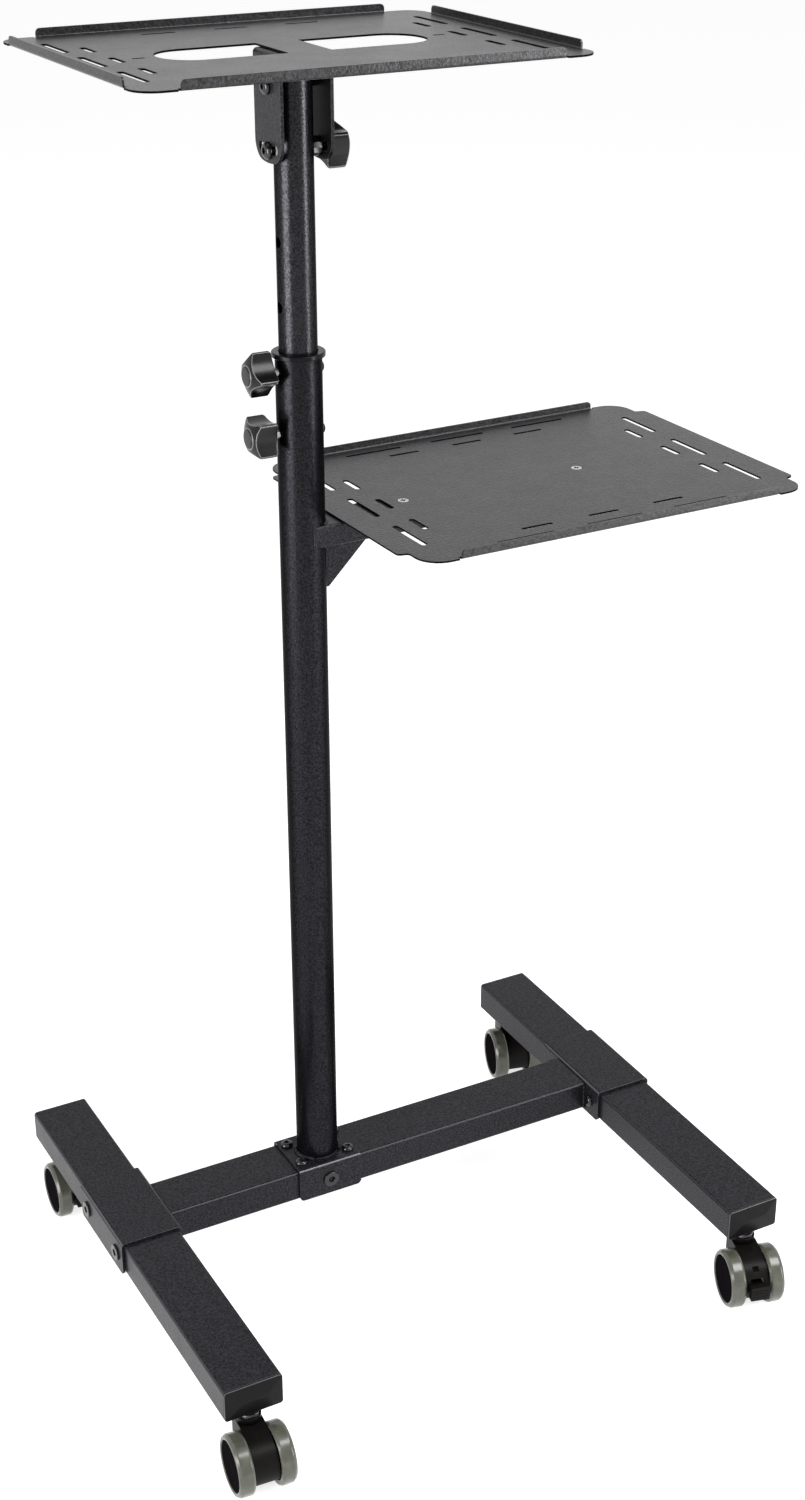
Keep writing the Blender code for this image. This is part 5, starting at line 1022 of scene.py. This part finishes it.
# Bolts of the head: two blackened button-head bolts with hexagon sockets across the bracket. The
# pivot has a lock nut on its far end, and the clamp bolt a moulded knob like the clamps'.
BOLT_HEAD, BOLT_RISE, BOLT_SOCKET, BOLT_SOCKET_DEPTH = 0.0065, 0.0036, 0.0024, 0.0016
LOCK_NUT, LOCK_NUT_RISE, CLAMP_BOLT_PAST = 0.0055, 0.0040, 0.0110
TILT_KNOB_DEPTH, TILT_KNOB_TURN = 0.0200, math.radians(-57)
head_left = HEAD_MIDDLE - HEAD_HALF - SEAT_GAP
head_right = HEAD_MIDDLE + HEAD_HALF + SEAT_GAP
for name, height, node, past in (("pivot", PIVOT_HEIGHT, "tilt_pivot_bolt", 0.0),
                                 ("clamp", CLAMP_HEIGHT, "tilt_clamp_bolt", CLAMP_BOLT_PAST)):
    profile = button_profile(SHANK, head_right + past - head_left, BOLT_HEAD, BOLT_RISE,
                             BOLT_SOCKET, BOLT_SOCKET_DEPTH)
    bolt = spun(name + "_bolt", profile, "-X", (head_left, 0, height), 64, BUTTON_SOCKET_FROM)
    add_piece(bolt, black_steel, "mast", "bright_steel", node, edge=SCREW_EDGE)
nut_profile = np.array([(SHANK, -0.0010), (SHANK, 0.0), (LOCK_NUT - 0.0003, 0.0),
                        (LOCK_NUT, 0.0004), (LOCK_NUT, 0.0030), (0.0046, LOCK_NUT_RISE),
                        (SHANK, LOCK_NUT_RISE)])
nut = spun("pivot_nut", nut_profile, "+X", (head_right, 0, PIVOT_HEIGHT), 48)
add_piece(nut, black_steel, "mast", "bright_steel")
tilt_knob = knob_mesh("tilt_ridged_knob", TILT_KNOB_DEPTH, 1, TILT_KNOB_TURN,
                      (head_right, 0, CLAMP_HEIGHT))
add_piece(tilt_knob, knob_plastic, "tilt_knob_body", "black_plastic", "tilt_knob",
          edge=KNOB_EDGE, highlight_surface=knob_highlight)


# Top tray: the same 1.5 mm steel blank folded up on all four sides, with two D-shaped windows
# beside the column. It rides on the tilting head, under the same grained coat as the lower tray.
TOP_TRAY_X, SHORT_SLOT_OUT, SHORT_SLOT = 0.0018, 0.1198, 0.0100
WINDOW_NEAR, WINDOW_FAR, WINDOW_HALF, WINDOW_CORNER, WINDOW_ROUND = 0.0170, 0.1060, 0.0285, 0.0012, 0.0270
TOP_ROWS = ((0.1540, 0.0750, 0.0510, "Y"), (0.1360, 0.0560, 0.0265, "Y"),
            (0.1100, 0.0595, 0.0280, "X"))
top_edge, top_folds = blank_outline(width=0.3521, depth=0.2770, front_lip=0.2920,
                                    side_tab=0.2224, ear_radius=0.0180)
window = eased([(WINDOW_NEAR, -WINDOW_HALF, WINDOW_CORNER), (WINDOW_FAR, -WINDOW_HALF, WINDOW_ROUND),
                (WINDOW_FAR, WINDOW_HALF, WINDOW_ROUND), (WINDOW_NEAR, WINDOW_HALF, WINDOW_CORNER)], 12)
top_loops = [top_edge]
for side in (-1, 1):
    top_loops += slot_rows(TOP_ROWS, side)
    top_loops.append(slot_loop(np.array([side * SHORT_SLOT_OUT, 0]), SHORT_SLOT, "X"))
    top_loops.append(window * np.array([side, 1]))
top_mesh, top_points = folded_tray("top_shelf", top_loops, top_folds)
top_points = top_points + np.array([TOP_TRAY_X, 0, TOP_TRAY_HEIGHT])
add_tray(top_mesh, top_points, "tilt_head", "top_tray")


# Casters: two wheels to a hood of mottled black plastic, each a grey-green tyre moulded round a
# charcoal hub. The stem's dull plated hexagon shows above the hood's neck, and a dark washer
# above that. The braked ones' hoods have a mouth and a window cut in front.
WHEEL_RADIUS, WHEEL_WIDTH, WHEEL_HALF_SPACE = 0.02577, 0.01336, 0.0109
TREAD_RADIUS = WHEEL_RADIUS - 0.0002
CASTER_TRAIL, HOOD_RADIUS, HOOD_HALF, HOOD_FOOT, HOOD_SHOULDER = 0.0209, 0.0215, 0.0106, 0.0170, 0.0505
HOOD_WALL, HOOD_CUT, HOOD_EDGE, POCKET_BACK = 0.0022, 0.002, 0.0007, -0.0082
MOUTH_BACK, MOUTH_TOP, MOUTH_HALF = -0.0335, 0.0360, 0.0061
WINDOW_FOOT, WINDOW_TOP, WINDOW_SIDE = 0.0408, 0.0438, 0.0028
NECK_RADIUS, NECK_TOP = 0.0104, 0.0562
STEM_RADIUS, STEM_FOOT, STEM_FLAT, STEM_RISE, STEM_EASE = 0.0040, 0.0240, 0.0088, 0.0035, 0.0003
WASHER_RADIUS, WASHER_BORE, STEM_INSET = 0.0098, 0.0050, 0.0142
CASTERS = {
    "front_left": (LEG_PLACES["left"], LEG_FRONT + STEM_INSET, math.radians(-4.3), False),
    "front_right": (LEG_PLACES["right"], LEG_FRONT + STEM_INSET, math.radians(-15.4), True),
    "back_right": (LEG_PLACES["right"], LEG_BACK - STEM_INSET, math.radians(-14.3), False),
    "back_left": (LEG_PLACES["left"], LEG_BACK - STEM_INSET, math.radians(-1.9), True),
}
tyre_rubber = moulded("tyre_rubber", (0.080, 0.084, 0.064), 0.20, 500, 0.10, 0.55)
hub_plastic = moulded("hub_plastic", (0.007, 0.006, 0.007), 0.36, 900, 0.8, 0.00)
dull_metal = metal("dull_metal", (0.24, 0.24, 0.24), 0.30, 500)
hood_plastic = moulded("hood_plastic", (0.0056, 0.0048, 0.0044), 0.36, 700, 1.0, 0.09)
# Loops of a wheel's two parts: radius, distance from the inner face, corner
TYRE_LOOP = [(0.0209, 0.0006, 0.0003), (0.0243, 0.0, 0.0010), (TREAD_RADIUS, 0.0020, 0.0012),
             (TREAD_RADIUS, 0.0106, 0.0022), (0.0239, 0.0130, 0.0010), (0.0225, WHEEL_WIDTH, 0.0006),
             (0.0210, 0.0129, 0.0003), (0.0209, 0.0110, 0.0003)]
HUB_PROFILE = [(0.0034, 0.0008, 0.0), (0.0207, 0.0008, 0.0005), (0.0207, 0.0112, 0.0002),
               (0.0201, 0.0112, 0.0002), (0.0200, 0.0128, 0.0006), (0.0040, 0.0131, 0.0)]


def swung(points, caster):
    """Points of a caster's own frame, turned by its swivel and set under its stem."""
    x, y, swing, _ = CASTERS[caster]
    matrix = np.array([[math.cos(swing), -math.sin(swing), 0],
                       [math.sin(swing), math.cos(swing), 0], [0, 0, 1]])
    return points @ matrix.T + np.array([x, y, 0])


def wheel_part(name, corners, outward, wrap, caster):
    """A loop or an open profile (radius, distance from the inner face) spun about the wheels'
    axle."""
    loop = eased(corners, 6, closed=wrap)
    angle = full_turn(96)
    x = np.repeat(outward * (WHEEL_HALF_SPACE + loop[:, 1:2]), 96, axis=1)
    y = loop[:, :1] * np.cos(angle) - CASTER_TRAIL
    z = loop[:, :1] * np.sin(angle) + WHEEL_RADIUS
    points, faces = carried(np.stack([x, y, z], axis=-1), wrap=wrap)
    return solid_mesh(name, swung(points, caster), faces)


def hood_side(radius, foot, back, shoulder):
    """Front of a hood's side outline (y, z): a circle about the axle, from where the slope up
    to the neck touches it down to the foot."""
    away = math.hypot(CASTER_TRAIL - back, shoulder - WHEEL_RADIUS)
    bearing = math.atan2(shoulder - WHEEL_RADIUS, CASTER_TRAIL - back)
    touch = bearing + math.acos(radius / away)
    low = math.pi + math.asin((WHEEL_RADIUS - foot) / radius)
    sweep = np.linspace(touch, low, 28)
    return np.stack([radius * np.cos(sweep) - CASTER_TRAIL, radius * np.sin(sweep) + WHEEL_RADIUS],
                    axis=1)


def across_prism(name, outline, half, caster):
    """A side outline (y, z) carried across the caster, swung into place."""
    rings = [np.stack([np.full(len(outline), x), outline[:, 0], outline[:, 1]], axis=1)
             for x in (-half, half)]
    points, faces = carried(np.array(rings))
    return solid_mesh(name, swung(points, caster), faces)


def spun_upright(name, corners, caster):
    """An open profile (radius, height) turned round a caster's stem."""
    loop = eased(corners, 4, closed=False)
    points, faces = carried(rings_round(loop[:, :1], loop[:, 1:2], full_turn(64)))
    return solid_mesh(name, swung(points, caster), faces)


def stem_mesh(name, caster):
    """The stem's round shank and its hexagon, whose rows reach out by the hexagon's share."""
    seat = NECK_TOP + STEM_EASE
    rows = np.array([(STEM_RADIUS, STEM_FOOT), (STEM_RADIUS, seat), (STEM_FLAT - STEM_EASE, seat),
                     (STEM_FLAT, seat + STEM_EASE), (STEM_FLAT, NECK_TOP + STEM_RISE - STEM_EASE),
                     (STEM_FLAT - STEM_EASE, NECK_TOP + STEM_RISE)])
    angle = full_turn(48)
    radius = np.repeat(rows[:, :1], 48, axis=1)
    radius[2:] *= hexagon(angle)
    points, faces = carried(rings_round(radius, rows[:, 1:2], angle))
    return solid_mesh(name, swung(points, caster), faces)


for caster, (*_, braked) in CASTERS.items():
    for side, outward in (("left", -1), ("right", 1)):
        wheel_body = f"{caster}_wheel_{side}"
        tyre = wheel_part(f"{caster}_{side}_tyre", TYRE_LOOP, outward, True, caster)
        add_piece(tyre, tyre_rubber, wheel_body, "tyre", wheel_body)
        hub = wheel_part(f"{caster}_{side}_hub", HUB_PROFILE, outward, False, caster)
        add_piece(hub, hub_plastic, wheel_body, "black_plastic")

    shell = hood_side(HOOD_RADIUS, HOOD_FOOT, NECK_RADIUS, HOOD_SHOULDER)
    back_edge = eased([(shell[-1, 0], HOOD_FOOT, 0.0), (NECK_RADIUS, HOOD_FOOT, 0.0022),
                       (NECK_RADIUS, HOOD_SHOULDER, 0.0012), (-NECK_RADIUS, HOOD_SHOULDER, 0.0)],
                      6, closed=False)
    hood = across_prism(caster + "_hood_shell", np.vstack([shell, back_edge[1:]]), HOOD_HALF, caster)
    inner_shell = hood_side(HOOD_RADIUS - HOOD_WALL, HOOD_FOOT - HOOD_CUT, NECK_RADIUS,
                            HOOD_SHOULDER - HOOD_WALL)
    inner_shell[:, 0] = np.minimum(inner_shell[:, 0], POCKET_BACK)
    pocket = np.vstack([inner_shell, [(POCKET_BACK, HOOD_FOOT - HOOD_CUT)]])
    cutters = [across_prism("pocket", pocket, HOOD_HALF - HOOD_WALL, caster)]
    if braked:
        front = -CASTER_TRAIL - HOOD_RADIUS - HOOD_CUT
        mouth = np.array([(front, HOOD_FOOT - HOOD_CUT), (MOUTH_BACK, HOOD_FOOT - HOOD_CUT),
                          (MOUTH_BACK, MOUTH_TOP), (front, MOUTH_TOP)])
        cutters.append(across_prism("mouth", mouth, MOUTH_HALF, caster))
        window = np.array([(front, WINDOW_FOOT), (-CASTER_TRAIL, WINDOW_FOOT),
                           (-CASTER_TRAIL, WINDOW_TOP), (front, WINDOW_TOP)])
        cutters.append(across_prism("window", window, WINDOW_SIDE, caster))
    hood = cut_away(hood, cutters)
    hood.name = caster + "_hood_shell"
    add_piece(hood, hood_plastic, caster + "_caster", "hood_plastic", caster + "_hood", edge=HOOD_EDGE)
    neck = spun_upright(caster + "_neck", [(NECK_RADIUS, HOOD_SHOULDER - 0.001, 0.0),
                                           (NECK_RADIUS, NECK_TOP, 0.0006), (0.0044, NECK_TOP, 0.0)],
                        caster)
    add_piece(neck, hood_plastic, caster + "_caster", "hood_plastic")

    stem = stem_mesh(caster + "_stem_hexagon", caster)
    add_piece(stem, dull_metal, "base", "bright_steel", caster + "_caster_stem", edge=0.0002)
    washer_foot, washer_top = NECK_TOP + STEM_RISE, BASE_HEIGHT - 0.0004
    washer = spun_upright(caster + "_stem_washer",
                          [(WASHER_BORE, washer_foot, 0.0), (WASHER_RADIUS, washer_foot, 0.0005),
                           (WASHER_RADIUS, washer_top, 0.0004), (WASHER_BORE, washer_top, 0.0)],
                          caster)
    add_piece(washer, black_steel, "base", "black_screws")


# Brake levers: a moulded pedal with ribs across its face, on an arm that enters the hood of each
# braked caster. Pedal and arm are one moulding in the hood's plastic, pivoted inside the hood.
PEDAL_FRONT, PEDAL_FOOT, PEDAL_TOP, PEDAL_HALF, PEDAL_BACK = -0.0505, 0.0205, 0.0345, 0.0085, -0.0447
RIB_WAVES, RIB_DEPTH, RIBBED_SHARE, RIB_SETBACK, PEDAL_EDGE = 4.5, 0.0007, 0.8, 0.0002, 0.0003
PEDAL_ARM_FRONT, PEDAL_ARM_BACK, PEDAL_ARM_FOOT, PEDAL_ARM_TOP = -0.0449, -0.0319, 0.0230, 0.0310
PEDAL_ARM_HALF = 0.0058
rib_share = np.linspace(0, 1, 97)
rib_height = PEDAL_FOOT + (PEDAL_TOP - PEDAL_FOOT) * rib_share
rib_wave = np.clip(np.sin(2 * math.pi * RIB_WAVES * rib_share) * 3, -1, 1) * 0.5 + 0.5
groove = RIB_DEPTH * rib_wave * (rib_share < RIBBED_SHARE)
pedal_face = np.stack([PEDAL_FRONT + RIB_SETBACK + groove, rib_height], axis=1)
pedal_back = eased([(PEDAL_FRONT + RIB_SETBACK, PEDAL_TOP, 0.0), (PEDAL_BACK, PEDAL_TOP, 0.0010),
                    (PEDAL_BACK, PEDAL_FOOT, 0.0010), (PEDAL_FRONT + RIB_SETBACK, PEDAL_FOOT, 0.0)],
                   5, closed=False)
pedal_outline = np.vstack([pedal_face, pedal_back[1:-1]])
pedal_arm_outline = eased([(PEDAL_ARM_FRONT, PEDAL_ARM_FOOT, 0.0004),
                           (PEDAL_ARM_BACK, PEDAL_ARM_FOOT, 0.0012),
                           (PEDAL_ARM_BACK, PEDAL_ARM_TOP, 0.0012),
                           (PEDAL_ARM_FRONT, PEDAL_ARM_TOP, 0.0004)], 5)
for caster, (*_, braked) in CASTERS.items():
    if braked:
        brake_body = caster + "_brake"
        pedal = across_prism(caster + "_pedal_plate", pedal_outline, PEDAL_HALF, caster)
        add_piece(pedal, hood_plastic, brake_body, "black_plastic", caster + "_brake_lever",
                  edge=PEDAL_EDGE)
        pedal_arm = across_prism(caster + "_pedal_arm", pedal_arm_outline, PEDAL_ARM_HALF, caster)
        add_piece(pedal_arm, hood_plastic, brake_body, "black_plastic", edge=PEDAL_EDGE)


# Axles and the clamp bolt's spacers: plain turned steel pins and rings, plated dull. Hardly any
# of them shows, so they keep the shapes that they have in the frame.
for node_name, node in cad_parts.items():
    if node_name.endswith("_axle") or node_name.endswith("_clamp_spacer"):
        node.data.materials.clear()
        node.data.materials.append(dull_metal)


# Weld beads: where the pole stands on the saddle, where arm and gusset meet the pole, and where
# the cross tube meets the leg brackets. Each is a rounded run of overlapping drops of steel,
# under the same coat as the tubes.
ARM_WELD_INSET, CROSS_WELD_FOOT, CROSS_WELD_SHORT = 0.0030, 0.0015, 0.0035
SWELL_SHARE, RIPPLE_SHARE, SHORT_RIPPLE, LONG_RIPPLE = 0.14, 0.08, 2100, 930
slant = np.array([0.13, 0.21, 0.97])


def weld(name, path, closed, radius, drop):
    """A circle carried along a path, its radius swelling by a share of itself at each drop, with
    a small uneven ripple from two sines. It rides on the base."""
    ahead = np.roll(path, -1, axis=0) - np.roll(path, 1, axis=0)
    if not closed:
        ahead[0], ahead[-1] = path[1] - path[0], path[-1] - path[-2]
    ahead /= np.linalg.norm(ahead, axis=1, keepdims=True)
    side = np.cross(ahead, slant)
    side /= np.linalg.norm(side, axis=1, keepdims=True)
    lift = np.cross(side, ahead)
    length = np.concatenate([[0], np.cumsum(np.linalg.norm(np.diff(path, axis=0), axis=1))])
    swell = radius * (1 - SWELL_SHARE + SWELL_SHARE * np.abs(np.sin(math.pi * length / drop))
                      + RIPPLE_SHARE * np.sin(length * SHORT_RIPPLE) * np.sin(length * LONG_RIPPLE))
    angle = full_turn(14)
    rings = (path[:, None] + side[:, None] * (swell[:, None] * np.cos(angle))[..., None]
             + lift[:, None] * (swell[:, None] * np.sin(angle))[..., None])
    bead = solid_mesh(name, *carried(rings, wrap=closed))
    add_piece(bead, black_coat, "base", "powder_coat")


def arc_path(radius, angle, height):
    """Places at a radius round the pole's axis, at one height."""
    return np.stack([radius * np.cos(angle), radius * np.sin(angle), np.full(len(angle), height)],
                    axis=1)


weld("column_seam", arc_path(POLE_RADIUS, full_turn(220), BRACKET_TOP + 0.0002), True, 0.0009, 0.0031)
for name, start, end in (("left", 158, 236), ("right", -40, 30)):
    foot_path = arc_path(POLE_RADIUS + 0.0014, np.radians(np.linspace(start, end, 90)),
                         BRACKET_TOP + 0.0008)
    weld(name + "_column_weld", foot_path, False, 0.0019, 0.0042)
weld_half = ARM_WIDTH / 2 - ARM_WELD_INSET
for name, across in (("near", -1), ("far", 1)):
    drop_share = np.linspace(0, 1, 60)
    edge_y = across * weld_half
    reach = math.sqrt((POLE_RADIUS + 0.0008) ** 2 - edge_y ** 2)
    side_path = np.stack([np.full(60, reach), np.full(60, edge_y),
                          ARM_MIDDLE + ARM_HEIGHT * (0.5 - drop_share)], axis=1)
    weld(name + "_arm_weld", side_path @ yaw_turn.T, False, 0.0015, 0.0036)
for name, level in (("upper", 1), ("lower", -1)):
    lip_y = np.linspace(-1, 1, 90) * weld_half
    lip_path = np.stack([np.sqrt((POLE_RADIUS + 0.0010) ** 2 - lip_y ** 2), lip_y,
                         np.full(90, ARM_MIDDLE + level * (ARM_HEIGHT / 2 + 0.0002))], axis=1)
    weld(name + "_arm_weld", lip_path @ yaw_turn.T, False, 0.0011, 0.0036)
web_path = np.stack([np.full(70, POLE_RADIUS + 0.0006), np.full(70, -0.0020),
                     gusset_top - 0.0392 * np.linspace(0, 1, 70)], axis=1)
weld("web_weld", web_path @ yaw_turn.T, False, 0.0011, 0.0034)
for side, end_x, toward in (("left", LEG_PLACES["left"] + LEG_BRACKET_HALF, 1),
                            ("right", LEG_PLACES["right"] - LEG_BRACKET_HALF, -1)):
    for name, y in (("front", -CROSS_WIDTH / 2), ("back", CROSS_WIDTH / 2)):
        height = BASE_HEIGHT + CROSS_WELD_FOOT + (TUBE_HEIGHT - CROSS_WELD_SHORT) * np.linspace(0, 1, 70)
        post_path = np.stack([np.full(70, end_x + toward * 0.0007), np.full(70, y), height], axis=1)
        weld(f"{side}_{name}_cross_weld", post_path, False, 0.0014, 0.0040)
